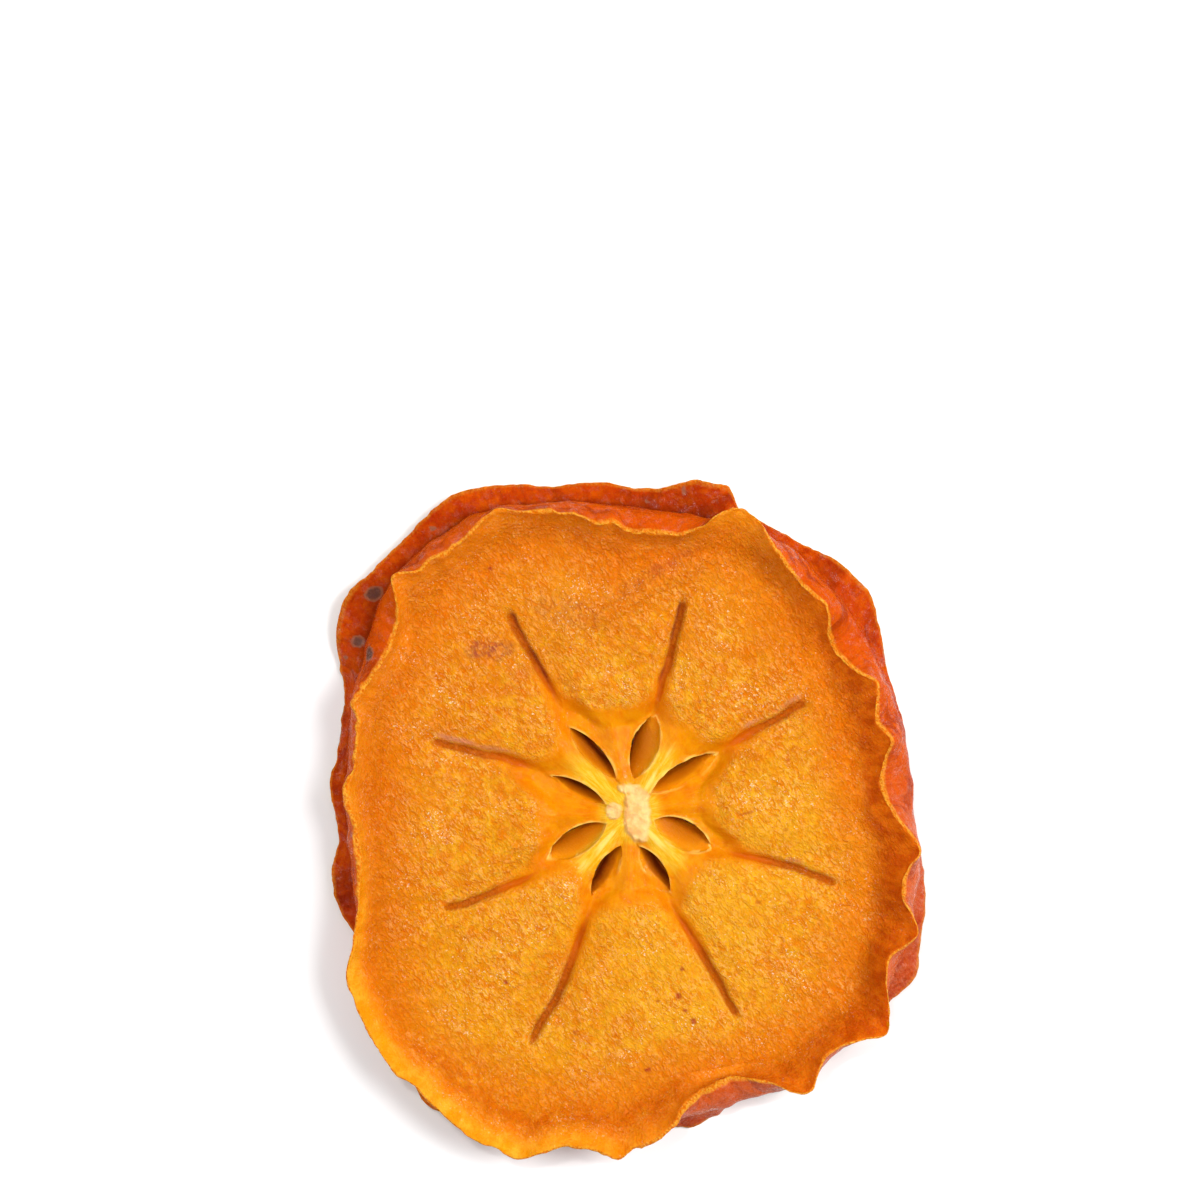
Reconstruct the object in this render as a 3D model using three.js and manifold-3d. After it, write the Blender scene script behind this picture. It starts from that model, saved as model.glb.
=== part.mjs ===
// A dried persimmon slice, cut across the fruit and dried whole with its peel on.
// Flesh, peel and core grew as one, so the slice is one solid. The flesh has shrunk to a thin
// plate with eight seed chambers round a pith core, and its pull has drawn the band of peel in at
// the middle, so both cut edges of the band stand out from it as ruffled lips.
// Millimetres and degrees, +Z up. The slice lies on z = 0 on three low spots of its lower lip.
// Plan positions are measured from the pith, with +Y towards the lip's broad overhang.

import * as THREE from "three";
import { mergeVertices } from "three/addons/utils/BufferGeometryUtils.js";
import Module from "manifold-3d";

// Heights and thicknesses
const FLESH_TOP = 3.7; // upper cut face
const FLESH_BOTTOM = 1.0; // lower cut face
const WAIST_HEIGHT = 2.5; // where the flesh pulls the peel in
const UPPER_LIP = 4.3; // peel from the waist to its upper cut edge
const FLATTEST_LIP = 0.42; // least share of that length that an upper lip rises
const PEEL = 0.5; // thickness of the peel at its cut edges
const RUN_IN = 1.2; // from the foot of the lip's inner wall to where the cut face levels out
const UNDER_WALL = 2.0; // flesh and peel together, where the lower lip meets the lower cut face

// Upper cut edge of the peel: angle and radius of each crest, dip and shoulder of the ruffle
const UPPER_EDGE = [
  [0, 26.2], [7, 25.1], [12, 25.8], [16, 26.9], [20.5, 26.2], [25, 27.0], [28, 27.8], [32, 26.7],
  [38, 26.1], [42, 26.5], [45, 27.8], [47.5, 28.5], [51, 28.4], [57, 29.0], [62, 30.3], [67, 31.9],
  [70, 32.3], [72.5, 31.6], [76, 29.6], [80, 28.2], [88, 28.0], [91, 28.4], [93.5, 29.2],
  [96, 29.1], [100, 30.2], [106, 31.2], [111, 32.4], [113.5, 33.2], [117, 32.6], [121, 32.0],
  [126, 31.8], [130.5, 32.2], [134.5, 33.4], [138, 31.3], [141, 29.8], [148, 29.0], [154, 29.4],
  [158, 29.9], [161, 28.6], [169, 27.8], [175, 28.5], [181, 27.7], [187, 27.3], [193, 27.7],
  [200, 28.8], [205, 30.4], [210, 32.6], [216, 33.4], [221, 34.1], [228, 34.8], [231, 34.5],
  [236, 35.0], [245, 36.1], [248, 35.9], [251.5, 36.3], [255, 34.9], [260, 33.4], [264, 33.5],
  [268, 34.4], [270.5, 33.4], [274, 32.7], [278, 31.3], [280.5, 29.7], [285, 28.6], [290, 28.0],
  [294, 28.8], [298, 30.3], [300.5, 32.0], [303, 32.8], [306, 31.7], [309.5, 30.8], [313, 31.2],
  [316.5, 32.3], [319.5, 33.5], [323, 32.2], [327, 30.3], [331.5, 29.4], [334.5, 30.2],
  [337.5, 30.9], [340, 30.0], [343, 28.3], [346.5, 27.9], [349.5, 28.2], [352.5, 29.0],
  [356, 27.9],
];

// Lower cut edge of the peel, seen past the upper one from above on most of the slice
const LOWER_EDGE = [
  [0, 28.5], [10, 28.6], [20, 29.1], [30, 29.8], [36, 31.3], [43, 32.8], [49, 32.8], [58, 32.1],
  [69, 32.0], [73.5, 34.2], [78, 34.1], [86, 32.4], [95, 33.3], [104, 33.7], [111, 35.4],
  [120, 36.5], [129, 35.7], [135, 35.5], [142, 35.8], [148, 34.8], [155, 32.2], [161, 30.5],
  [168, 30.0], [174, 30.3], [181, 29.7], [185.5, 29.3], [190, 30.4], [198, 31.0], [204, 30.4],
  [213, 31.6], [225, 33.6], [231, 34.9], [236.5, 35.9], [242, 34.8], [252, 34.4], [262, 32.4],
  [271, 31.9], [277, 32.1], [281, 32.6], [286, 31.9], [291, 31.4], [297, 31.9], [303, 32.5],
  [311, 31.7], [318, 31.9], [324, 32.5], [329.5, 33.3], [335, 32.2], [341, 31.5], [347, 30.4],
  [354, 29.3],
];

// Waist of the band, where the flesh holds the peel
const WAIST = [
  [5, 28.4], [28, 28.9], [45, 30.0], [62, 31.0], [85, 30.3], [103, 32.0], [120, 33.7], [135, 33.4],
  [150, 30.9], [168, 28.9], [188, 28.4], [203, 29.2], [218, 31.2], [236, 32.4], [252, 32.9],
  [268, 31.7], [282, 31.0], [292, 31.1], [305, 31.9], [318, 31.6], [330, 30.8], [343, 29.9],
];

// Foot of the upper lip's inner wall, a crease in the cut face
const CREASE = [
  [0, 23.4], [20, 23.9], [45, 25.2], [65, 28.2], [75, 27.6], [90, 26.4], [110, 29.8], [130, 30.2],
  [150, 27.4], [180, 26.1], [198, 26.8], [215, 30.0], [230, 31.0], [250, 30.8], [268, 29.2],
  [280, 27.6], [300, 28.8], [320, 29.0], [335, 26.8], [350, 25.0],
];

// Height of the lower edge, and the three spots that the slice rests on
const LOWER_EDGE_HEIGHT = 0.5;
const LOWER_EDGE_WAVE = 0.16;
const FLARE_LIFT = 0.25; // rise of the lower edge for each millimetre that it flares
const FOOT_ANGLES = [40, 160, 285];
const FOOT_DEPTH = -0.35; // a foot would reach this height if the table didn't flatten it
const FOOT_SPREAD = 9;

// Hollow round the core: its shore, which has a bay where each groove runs into it
const SHORE = [
  [8, 9.0], [53, 10.2], [98, 10.8], [141, 10.4], [183, 9.3], [228, 9.3], [271, 9.7], [319, 9.1],
];
const SHORE_SLOPE = 2.6;
const UPPER_HOLLOW = 1.1;
const LOWER_HOLLOW = 0.2;

// Eight seed chambers: tips from the pith outwards, width at the lip, and the side that the chamber
// leans to on its way down, 1 for the left seen from the pith and -1 for the right
const CHAMBERS = [
  { inner: [-1.4, 3.4], outer: [-6.1, 8.5], width: 1.8, lean: -1 },
  { inner: [0.4, 3.4], outer: [2.6, 9.7], width: 2.7, lean: 1 },
  { inner: [2.1, 2.0], outer: [8.8, 5.8], width: 2.2, lean: 1 },
  { inner: [2.4, -0.7], outer: [8.1, -3.7], width: 2.9, lean: 1 },
  { inner: [0.9, -3.4], outer: [4.0, -8.0], width: 2.0, lean: 1 },
  { inner: [-0.9, -3.3], outer: [-3.8, -8.6], width: 2.1, lean: -1 },
  { inner: [-2.4, -1.1], outer: [-8.1, -4.6], width: 2.6, lean: -1 },
  { inner: [-2.5, 0.9], outer: [-8.0, 3.6], width: 1.7, lean: -1 },
];
const CHAMBER_FLOOR = 0.35; // width at the lower face, as a share of the lip's
const CHAMBER_TAPER = 0.22; // how much shorter the chamber is down there
const CHAMBER_SIDES = 14;

// Walls between the chambers: four pale rays and four thin septa, which run from the pith outwards
const RAYS = [57, 138, 229, 314];
const SEPTA = [8, 102, 182, 269];
const RAY = { height: 0.9, width: 2.1 };
const SEPTUM = { height: 0.5, width: 1.0 };
const PITH_RADIUS = 1.35;
const PITH_HEIGHT = 1.15;

// Eight narrow grooves, left by the vessels that ran out from the tips of the chambers. Most of
// them bow a little to the left going outwards.
const GROOVES = [
  { from: [-7.3, 10.9], to: [-12.3, 20.4], depth: 0.7, bow: 0 },
  { from: [2.6, 10.3], to: [5.5, 21.7], depth: 0.7, bow: 0 },
  { from: [9.4, 6.6], to: [17.9, 11.3], depth: 0.5, bow: 0 },
  { from: [9.6, -4.1], to: [21.0, -7.2], depth: 0.55, bow: 0.4 },
  { from: [4.2, -9.5], to: [10.9, -20.9], depth: 0.65, bow: 0.2 },
  { from: [-4.2, -9.7], to: [-10.2, -23.7], depth: 0.65, bow: 0.5 },
  { from: [-9.2, -6.0], to: [-18.8, -9.9], depth: 0.5, bow: 0.2 },
  { from: [-9.4, 4.3], to: [-20.2, 7.4], depth: 0.45, bow: -0.2 },
];
const LOWER_GROOVE_DEPTH = 0.35;
const GROOVE_WIDTH = 1.0;
const GROOVE_STEPS = 7;

// Directions in which the grooves run out, and how far the hollow reaches into each of them
const GROOVE_ANGLES = [32, 76, 121, 160, 208, 247, 297.5, 341.5];
const GROOVE_REACH = [3.0, 1.6, 3.2, 2.6, 1.8, 1.9, 1.6, 3.0];
const GROOVE_MOUTH = 8; // degrees
const PILLOW = 0.5; // swelling of the flesh between two grooves

// Fineness of the mesh
const SECTORS = 180; // round the rim, halved on the cut faces
const UPPER_RINGS = [0.035, 0.075, 0.13, 0.2, 0.27, 0.35, 0.43, 0.53, 0.67, 0.84];
const LOWER_RINGS = [0.06, 0.2, 0.32, 0.42, 0.56, 0.78];
const CURVE_STEPS = { innerWall: 4, upperLip: 3, lowerLip: 2, underside: 3 };

const mix = (a, b, t) => a + (b - a) * t;
const radians = (degrees) => (degrees * Math.PI) / 180;
const smoothstep = (low, high, value) => {
  const t = Math.min(1, Math.max(0, (value - low) / (high - low)));
  return t * t * (3 - 2 * t);
};
const angleBetween = (a, b) => Math.abs(((((a - b) % 360) + 540) % 360) - 180);

// A smooth closed outline through [angle, value] points, with no overshoot at crests and dips
function outline(points) {
  const count = points.length;
  const at = (i) => {
    const turns = Math.floor(i / count);
    const [angle, value] = points[i - turns * count];
    return [angle + 360 * turns, value];
  };
  const rise = (i) => (at(i + 1)[1] - at(i)[1]) / (at(i + 1)[0] - at(i)[0]);
  const slope = (i) => {
    const [before, after] = [rise(i - 1), rise(i)];
    return before * after > 0 ? (2 * before * after) / (before + after) : 0;
  };
  return (degrees) => {
    const angle = ((degrees % 360) + 360) % 360;
    let i = count - 1;
    while (i >= 0 && at(i)[0] > angle) i -= 1;
    const [start, low] = at(i);
    const [end, high] = at(i + 1);
    const span = end - start;
    const t = (angle - start) / span;
    const ease = t * t * (3 - 2 * t);
    return mix(low, high, ease) + span * t * (1 - t) * ((1 - t) * slope(i) - t * slope(i + 1));
  };
}

const upperRadius = outline(UPPER_EDGE);
const lowerRadius = outline(LOWER_EDGE);
const waistRadius = outline(WAIST);
const creaseRadius = outline(CREASE);
const plainShore = outline(SHORE);

// Where the hollow round the core ends, with a bay where each groove begins
function shoreRadius(degrees) {
  const bay = (groove, i) =>
    GROOVE_REACH[i] * Math.exp(-((angleBetween(groove, degrees) / GROOVE_MOUTH) ** 2));
  return plainShore(degrees) + Math.max(...GROOVE_ANGLES.map(bay));
}

// How far down the rounded shore of the hollow a point lies, from 0 on the flesh to 1
function hollowAt(radius, degrees) {
  const inward = smoothstep(0, SHORE_SLOPE, shoreRadius(degrees) + 0.6 - radius);
  return 1 - Math.sqrt(1 - inward ** 1.4);
}

// A wall between two chambers, stretched like a tent from its crest line
function ridge({ height, width }, crest, radius, degrees) {
  const across = radius * Math.sin(radians(angleBetween(crest, degrees)));
  if (angleBetween(crest, degrees) > 80) return 0;
  const tent = Math.max(0, 1 - across / (width * (0.5 + radius / 8)));
  return height * tent ** 1.3 * smoothstep(0.4, 1.6, radius);
}

// Swelling of the flesh between two neighbouring grooves
function pillow(radius, degrees) {
  const nearest = Math.min(...GROOVE_ANGLES.map((groove) => angleBetween(groove, degrees)));
  const shore = shoreRadius(degrees);
  const window = smoothstep(shore - 1, shore + 1.5, radius) * (1 - smoothstep(19, 25, radius));
  return PILLOW * window * smoothstep(0, 11, nearest);
}

// Height of the upper cut face
function upperFace(radius, degrees) {
  const hollow = hollowAt(radius, degrees);
  const rays = RAYS.map((crest) => ridge(RAY, crest, radius, degrees));
  const septa = SEPTA.map((crest) => ridge(SEPTUM, crest, radius, degrees));
  const walls = Math.max(...rays, ...septa);
  const pith = PITH_HEIGHT * (1 - smoothstep(PITH_RADIUS * 0.7, PITH_RADIUS * 1.35, radius));
  return FLESH_TOP + pillow(radius, degrees) + hollow * (Math.max(walls, pith) - UPPER_HOLLOW);
}

// Height of the lower cut face
function lowerFace(radius, degrees) {
  const hollow = hollowAt(radius + 0.8, degrees);
  const pith = 1 - smoothstep(PITH_RADIUS * 0.7, PITH_RADIUS * 1.6, radius);
  return FLESH_BOTTOM - 0.5 * pillow(radius, degrees) + hollow * (1 - pith) * LOWER_HOLLOW;
}

// Height of the lower cut edge: gently waved, lifted where it flares, and low at each foot
function lowerEdgeHeight(degrees) {
  const wave = Math.sin(radians(5 * degrees + 40)) + Math.sin(radians(8 * degrees + 115));
  const flare = Math.max(0, lowerRadius(degrees) - waistRadius(degrees));
  const nearFoot = (foot) => Math.exp(-((angleBetween(foot, degrees) / FOOT_SPREAD) ** 2));
  const foot = Math.max(...FOOT_ANGLES.map(nearFoot));
  return mix(LOWER_EDGE_HEIGHT + LOWER_EDGE_WAVE * wave + FLARE_LIFT * flare, FOOT_DEPTH, foot);
}

// A curve from start to end that leaves and arrives pointing at the pull point
function bend(start, pull, end, steps) {
  return Array.from({ length: steps - 1 }, (_, i) => {
    const t = (i + 1) / steps;
    return [0, 1].map((k) => mix(mix(start[k], pull[k], t), mix(pull[k], end[k], t), t));
  });
}

// Section of the rim at one angle, as [radius, height] points from the upper cut face, over the
// upper edge, down the skin and round the lower edge to the lower cut face
function rimSection(degrees) {
  const waist = [waistRadius(degrees), WAIST_HEIGHT];
  const level = creaseRadius(degrees) - RUN_IN;

  const lean = upperRadius(degrees) - waist[0];
  const rise = Math.sqrt(Math.max(UPPER_LIP ** 2 - lean ** 2, (FLATTEST_LIP * UPPER_LIP) ** 2));
  const upper = [waist[0] + lean, waist[1] + rise];
  const upperLength = Math.hypot(lean, rise);
  const upperInner = [
    upper[0] - (PEEL * rise) / upperLength,
    upper[1] + (PEEL * lean) / upperLength,
  ];
  const field = [level, upperFace(level, degrees)];
  const crease = [creaseRadius(degrees) + 0.4, FLESH_TOP + 0.1];
  const innerWall = bend(field, crease, upperInner, CURVE_STEPS.innerWall);
  const upperSkin = bend(upper, [waist[0] + 0.1, mix(waist[1], upper[1], 0.6)], waist,
    CURVE_STEPS.upperLip);

  const flare = lowerRadius(degrees) - waist[0];
  const lowest = lowerEdgeHeight(degrees);
  const lowerLength = Math.hypot(flare, waist[1] - lowest);
  const lower = [waist[0] + flare, lowest + (PEEL * Math.max(0, flare)) / lowerLength];
  const lowerInner = [lower[0] - (PEEL * (waist[1] - lowest)) / lowerLength, lowest];
  const lowerSkin = bend(waist, [waist[0] + 0.1, mix(lower[1], waist[1], 0.5)], lower,
    CURVE_STEPS.lowerLip);
  const underField = [level, lowerFace(level, degrees)];
  const underside = bend(lowerInner, [waist[0] - UNDER_WALL, FLESH_BOTTOM], underField,
    CURVE_STEPS.underside);

  return [
    field, ...innerWall, upperInner, upper, ...upperSkin, waist, ...lowerSkin, lower, lowerInner,
    ...underside, underField,
  ];
}

// Geometry of a closed surface from rings of points, with a fan to a pole at each end. The rings
// run anticlockwise seen from beyond the first pole, and one may have twice or half as many points
// as the next.
function closedSurface(firstPole, rings, lastPole) {
  const points = [firstPole, ...rings.flat(), lastPole];
  const starts = rings.map((_, i) => 1 + rings.slice(0, i).flat().length);
  const faces = [];
  const pick = (ring, i) => starts[ring] + (i % rings[ring].length);
  rings[0].forEach((_, i) => faces.push([0, pick(0, i), pick(0, i + 1)]));
  for (let k = 0; k + 1 < rings.length; k += 1) {
    const [here, next] = [rings[k].length, rings[k + 1].length];
    const steps = Math.min(here, next);
    for (let i = 0; i < steps; i += 1) {
      const [a, b] = [i, i + 1].map((j) => pick(k, (j * here) / steps));
      const [c, d] = [i, i + 1].map((j) => pick(k + 1, (j * next) / steps));
      if (here === next) {
        faces.push([a, c, d], [a, d, b]);
      } else if (next > here) {
        const middle = pick(k + 1, 2 * i + 1);
        faces.push([a, c, middle], [a, middle, b], [middle, d, b]);
      } else {
        const middle = pick(k, 2 * i + 1);
        faces.push([a, c, middle], [middle, c, d], [middle, d, b]);
      }
    }
  }
  const last = rings.length - 1;
  rings[last].forEach((_, i) => faces.push([pick(last, i), points.length - 1, pick(last, i + 1)]));
  const geometry = new THREE.BufferGeometry();
  geometry.setAttribute("position", new THREE.Float32BufferAttribute(points.flat(), 3));
  geometry.setIndex(faces.flat());
  return geometry;
}

const polar = (radius, degrees, height) => [
  radius * Math.cos(radians(degrees)),
  radius * Math.sin(radians(degrees)),
  height,
];

// The slice with its peel, before the chambers and grooves are cut
function sliceSurface() {
  const angles = (count) => Array.from({ length: count }, (_, i) => (i * 360) / count);
  const faceRing = (share, face) =>
    angles(SECTORS / 2).map((degrees) => {
      const radius = share * (creaseRadius(degrees) - RUN_IN);
      return polar(radius, degrees, face(radius, degrees));
    });
  const sections = angles(SECTORS).map((degrees) => rimSection(degrees));
  const rimRings = sections[0].map((_, row) =>
    sections.map((section, i) => polar(section[row][0], (i * 360) / SECTORS, section[row][1])),
  );
  const rings = [
    ...UPPER_RINGS.map((share) => faceRing(share, upperFace)),
    ...rimRings,
    ...LOWER_RINGS.map((share) => faceRing(share, lowerFace)).reverse(),
  ];
  return closedSurface([0, 0, upperFace(0, 0)], rings, [0, 0, lowerFace(0, 0)]);
}

// A pointed oval in plan, at one height of a chamber. Fall runs from 0 at the lip to 1 at the
// floor, where the oval is smaller and stands past the side that the chamber leans to.
function chamberRing({ inner, outer, width, lean }, height, fall) {
  const centre = new THREE.Vector2(...inner).add(new THREE.Vector2(...outer)).multiplyScalar(0.5);
  const along = new THREE.Vector2(...outer).sub(centre);
  const across = new THREE.Vector2(-along.y, along.x).setLength(width / 2);
  const longer = 1 - CHAMBER_TAPER * fall;
  const wider = 1 - (1 - CHAMBER_FLOOR) * fall;
  const shift = lean * fall * (1 + CHAMBER_FLOOR);
  const ring = Array.from({ length: CHAMBER_SIDES }, (_, i) => {
    const turn = (2 * Math.PI * i) / CHAMBER_SIDES;
    const half = wider * Math.sign(Math.sin(turn)) * Math.abs(Math.sin(turn)) ** 1.4 + shift;
    const x = centre.x + longer * along.x * Math.cos(turn) + across.x * half;
    const y = centre.y + longer * along.y * Math.cos(turn) + across.y * half;
    return [x, y, height];
  });
  return { ring, middle: [centre.x + across.x * shift, centre.y + across.y * shift, height] };
}

// Empty space of a chamber, whose walls close in and lean over on their way down
function chamberSpace(chamber) {
  const levels = [
    chamberRing(chamber, FLESH_TOP + 2, 0),
    chamberRing(chamber, FLESH_TOP - 0.8, 0),
    chamberRing(chamber, FLESH_TOP - 1.4, 0.35),
    chamberRing(chamber, FLESH_TOP - 2.3, 0.93),
    chamberRing(chamber, -1, 1.05),
  ];
  return closedSurface(levels[0].middle, levels.map(({ ring }) => ring), levels.at(-1).middle);
}

// Empty space of a groove: a long V that fades in and out along its length
function grooveSpace({ from, to, depth, bow }, face, up) {
  const [start, end] = [new THREE.Vector2(...from), new THREE.Vector2(...to)];
  const way = end.clone().sub(start).normalize();
  const side = new THREE.Vector2(-way.y, way.x);
  const station = (t) => {
    const middle = start.clone().lerp(end, t).addScaledVector(side, bow * 4 * t * (1 - t));
    const height = face(middle.length(), (middle.angle() * 180) / Math.PI);
    const fade = Math.sin(Math.PI * mix(0.06, 0.94, t)) ** 0.6;
    const wide = side.clone().multiplyScalar(fade * GROOVE_WIDTH);
    return [
      [middle.x + wide.x * up, middle.y + wide.y * up, height + up * depth],
      [middle.x, middle.y, height - up * depth * fade],
      [middle.x - wide.x * up, middle.y - wide.y * up, height + up * depth],
    ];
  };
  const stations = Array.from({ length: GROOVE_STEPS }, (_, i) => station(i / (GROOVE_STEPS - 1)));
  const tip = (ring) => [0, 1, 2].map((k) => (ring[0][k] + ring[1][k] + ring[2][k]) / 3);
  return closedSurface(tip(stations[0]), stations, tip(stations.at(-1)));
}

const wasm = await Module();
wasm.setup();

// A solid from a closed geometry
function solid(geometry) {
  const bare = geometry.clone();
  bare.deleteAttribute("normal");
  bare.deleteAttribute("uv");
  const merged = mergeVertices(bare, 1e-4);
  return new wasm.Manifold(
    new wasm.Mesh({
      numProp: 3,
      vertProperties: merged.attributes.position.array,
      triVerts: new Uint32Array(merged.index.array),
    }),
  );
}

// A geometry from a solid
function geometryOf(made) {
  const { numProp, vertProperties, triVerts } = made.getMesh();
  const positions = [];
  for (let i = 0; i < vertProperties.length; i += numProp) {
    positions.push(...vertProperties.subarray(i, i + 3));
  }
  const geometry = new THREE.BufferGeometry();
  geometry.setAttribute("position", new THREE.Float32BufferAttribute(positions, 3));
  geometry.setIndex([...triVerts]);
  return geometry;
}

// Everything below the surface that the slice rests on, which flattens its three feet
function belowTable() {
  const depth = 5;
  return new THREE.BoxGeometry(100, 100, depth).translate(0, 0, -depth / 2);
}

function persimmonSlice() {
  const empty = [
    ...CHAMBERS.map(chamberSpace),
    ...GROOVES.map((groove) => grooveSpace(groove, upperFace, 1)),
    ...GROOVES.map((groove) => grooveSpace({ ...groove, depth: LOWER_GROOVE_DEPTH }, lowerFace, -1)),
    belowTable(),
  ];
  const cut = empty.reduce((rest, space) => rest.subtract(solid(space)), solid(sliceSurface()));
  const geometry = geometryOf(cut);
  geometry.computeBoundingBox();
  const { min, max } = geometry.boundingBox;
  geometry.translate(-(min.x + max.x) / 2, -(min.y + max.y) / 2, -min.z);
  geometry.computeVertexNormals();
  return geometry;
}

const driedFlesh = new THREE.MeshStandardMaterial({
  color: new THREE.Color(0.86, 0.4, 0.04),
  roughness: 0.5,
  metalness: 0,
});

const slice = new THREE.Mesh(persimmonSlice(), driedFlesh);
slice.name = "persimmon_slice";

const persimmon = new THREE.Group();
persimmon.add(slice);

export default persimmon;
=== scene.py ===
import math
from collections import namedtuple
from itertools import product
from types import SimpleNamespace

import bpy
import numpy as np
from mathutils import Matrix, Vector


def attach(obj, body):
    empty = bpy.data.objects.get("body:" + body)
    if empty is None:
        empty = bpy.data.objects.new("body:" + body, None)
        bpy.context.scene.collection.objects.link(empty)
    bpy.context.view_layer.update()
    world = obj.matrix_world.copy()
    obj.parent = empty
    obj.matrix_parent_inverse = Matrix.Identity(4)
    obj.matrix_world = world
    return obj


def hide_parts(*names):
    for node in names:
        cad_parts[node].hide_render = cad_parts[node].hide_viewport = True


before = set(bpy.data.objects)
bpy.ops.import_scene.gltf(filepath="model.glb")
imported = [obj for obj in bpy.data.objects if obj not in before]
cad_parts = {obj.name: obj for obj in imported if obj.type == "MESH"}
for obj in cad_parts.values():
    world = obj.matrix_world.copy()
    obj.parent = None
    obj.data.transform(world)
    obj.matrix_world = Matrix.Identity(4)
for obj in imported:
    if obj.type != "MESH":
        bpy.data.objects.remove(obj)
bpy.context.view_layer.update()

# A dried persimmon slice, cut across the fruit and lying on its lower face, in millimetres and
# degrees from the pith at its core, with +Y towards the top of the picture.

MM = 0.001
PITH = Vector((0.000167, 0.000557, 0))  # the pith in the frame

# Heights and thicknesses, as in the model
FLESH_TOP = 3.7
FLESH_BOTTOM = 1
WAIST_HEIGHT = 2.5
UPPER_LIP = 4.3
FLATTEST_LIP = 0.42
RUN_IN = 1.2
UNDER_WALL = 2
LIP_BAND = 6  # how far in from the lip its colours reach

# Upper cut edge of the peel: radius at the angle of each crest, dip and shoulder of the ruffle
UPPER_EDGE = {
    0: 26.2, 7: 25.1, 12: 25.8, 16: 26.9, 20.5: 26.2, 25: 27, 28: 27.8, 32: 26.7, 38: 26.1,
    42: 26.5, 45: 27.8, 47.5: 28.5, 51: 28.4, 57: 29, 62: 30.3, 67: 31.9, 70: 32.3, 72.5: 31.6,
    76: 29.6, 80: 28.2, 88: 28, 91: 28.4, 93.5: 29.2, 96: 29.1, 100: 30.2, 106: 31.2, 111: 32.4,
    113.5: 33.2, 117: 32.6, 121: 32, 126: 31.8, 128: 32.3, 130.5: 32.1, 134.5: 33.4, 138: 31.3,
    141: 29.8, 148: 29, 154: 29.4, 158: 29.9, 161: 28.6, 169: 27.8, 175: 28.5, 181: 27.7, 187: 27.3,
    193: 27.7, 200: 28.8, 205: 30.4, 210: 32.6, 216: 33.4, 221: 34.1, 228: 34.8, 231: 34.5, 236: 35,
    240: 35.4, 245: 36.1, 248: 35.9, 251.5: 36.3, 255: 34.9, 260: 33.4, 264: 33.5, 268: 34.4,
    270.5: 33.4, 274: 32.7, 278: 31.3, 280.5: 29.7, 285: 28.6, 290: 28, 294: 28.8, 298: 30.3,
    300.5: 32, 303: 32.8, 306: 31.7, 309.5: 30.8, 313: 31.2, 316.5: 32.3, 319.5: 33.5, 323: 32.2,
    327: 30.3, 331.5: 29.4, 334.5: 30.2, 337.5: 30.9, 340: 30, 343: 28.3, 346.5: 27.9, 349.5: 28.2,
    352.5: 29, 356: 27.9,
}

# Lower cut edge of the peel
LOWER_EDGE = {
    0: 28.5, 10: 28.6, 20: 29.1, 30: 29.8, 36: 31.3, 43: 32.8, 49: 32.8, 58: 32.1, 69: 32,
    73.5: 34.2, 78: 34.1, 86: 32.4, 95: 33.3, 104: 33.7, 111: 35.4, 120: 36.5, 129: 35.7, 135: 35.5,
    142: 35.8, 148: 34.8, 155: 32.2, 161: 30.5, 168: 30, 174: 30.3, 181: 29.7, 185.5: 29.3,
    190: 30.4, 198: 31, 204: 30.4, 213: 31.6, 225: 33.6, 231: 34.9, 236.5: 35.9, 242: 34.8,
    252: 34.4, 262: 32.4, 271: 31.9, 277: 32.1, 281: 32.6, 286: 31.9, 291: 31.4, 297: 31.9,
    303: 32.5, 311: 31.7, 318: 31.9, 324: 32.5, 329.5: 33.3, 335: 32.2, 341: 31.5, 347: 30.4,
    354: 29.3,
}

# Waist of the band of peel, where the flesh holds it
WAIST = {
    5: 28.4, 28: 28.9, 45: 30, 62: 31, 85: 30.3, 103: 32, 120: 33.7, 135: 33.4, 150: 30.9,
    168: 28.9, 188: 28.4, 203: 29.2, 218: 31.2, 236: 32.4, 252: 32.9, 268: 31.7, 282: 31, 292: 31.1,
    305: 31.9, 318: 31.6, 330: 30.8, 343: 29.9,
}

# Foot of the upper lip's inner wall, a crease in the cut face
CREASE = {
    0: 23.4, 20: 23.9, 45: 25.2, 65: 28.2, 75: 27.6, 90: 26.4, 110: 29.8, 130: 30.2, 150: 27.4,
    180: 26.1, 198: 26.8, 215: 30, 230: 31, 250: 30.8, 268: 29.2, 280: 27.6, 300: 28.8, 320: 29,
    335: 26.8, 350: 25,
}

# How brown the inner wall of the lip is, partly from drying and partly painted shade, from 0 to 1
BROWNING_AND_SHADE = {
    0: 1, 30: 0.85, 50: 0.6, 70: 0.25, 90: 0.35, 130: 0.2, 160: 0.3, 190: 0.3, 215: 0.1, 240: 0,
    265: 0.2, 282: 0.6, 300: 0.7, 325: 1, 345: 1,
}

# Thickness of the peel at its upper cut edge, and how much the edge crumbles, from 0 to 1
EDGE_THICKNESS = {
    10: 0.14, 60: 0.16, 110: 0.18, 134: 0.35, 150: 0.18, 158: 0.5, 166: 0.18, 178: 0.45, 188: 0.45,
    196: 0.22, 230: 0.26, 262: 0.26, 280: 0.6, 292: 0.26, 330: 0.16,
}
CRUMBLING = {
    0: 0.3, 40: 0.5, 70: 0.8, 100: 1, 135: 1, 180: 0.9, 220: 0.5, 262: 0.5, 282: 1, 300: 0.3,
}
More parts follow.
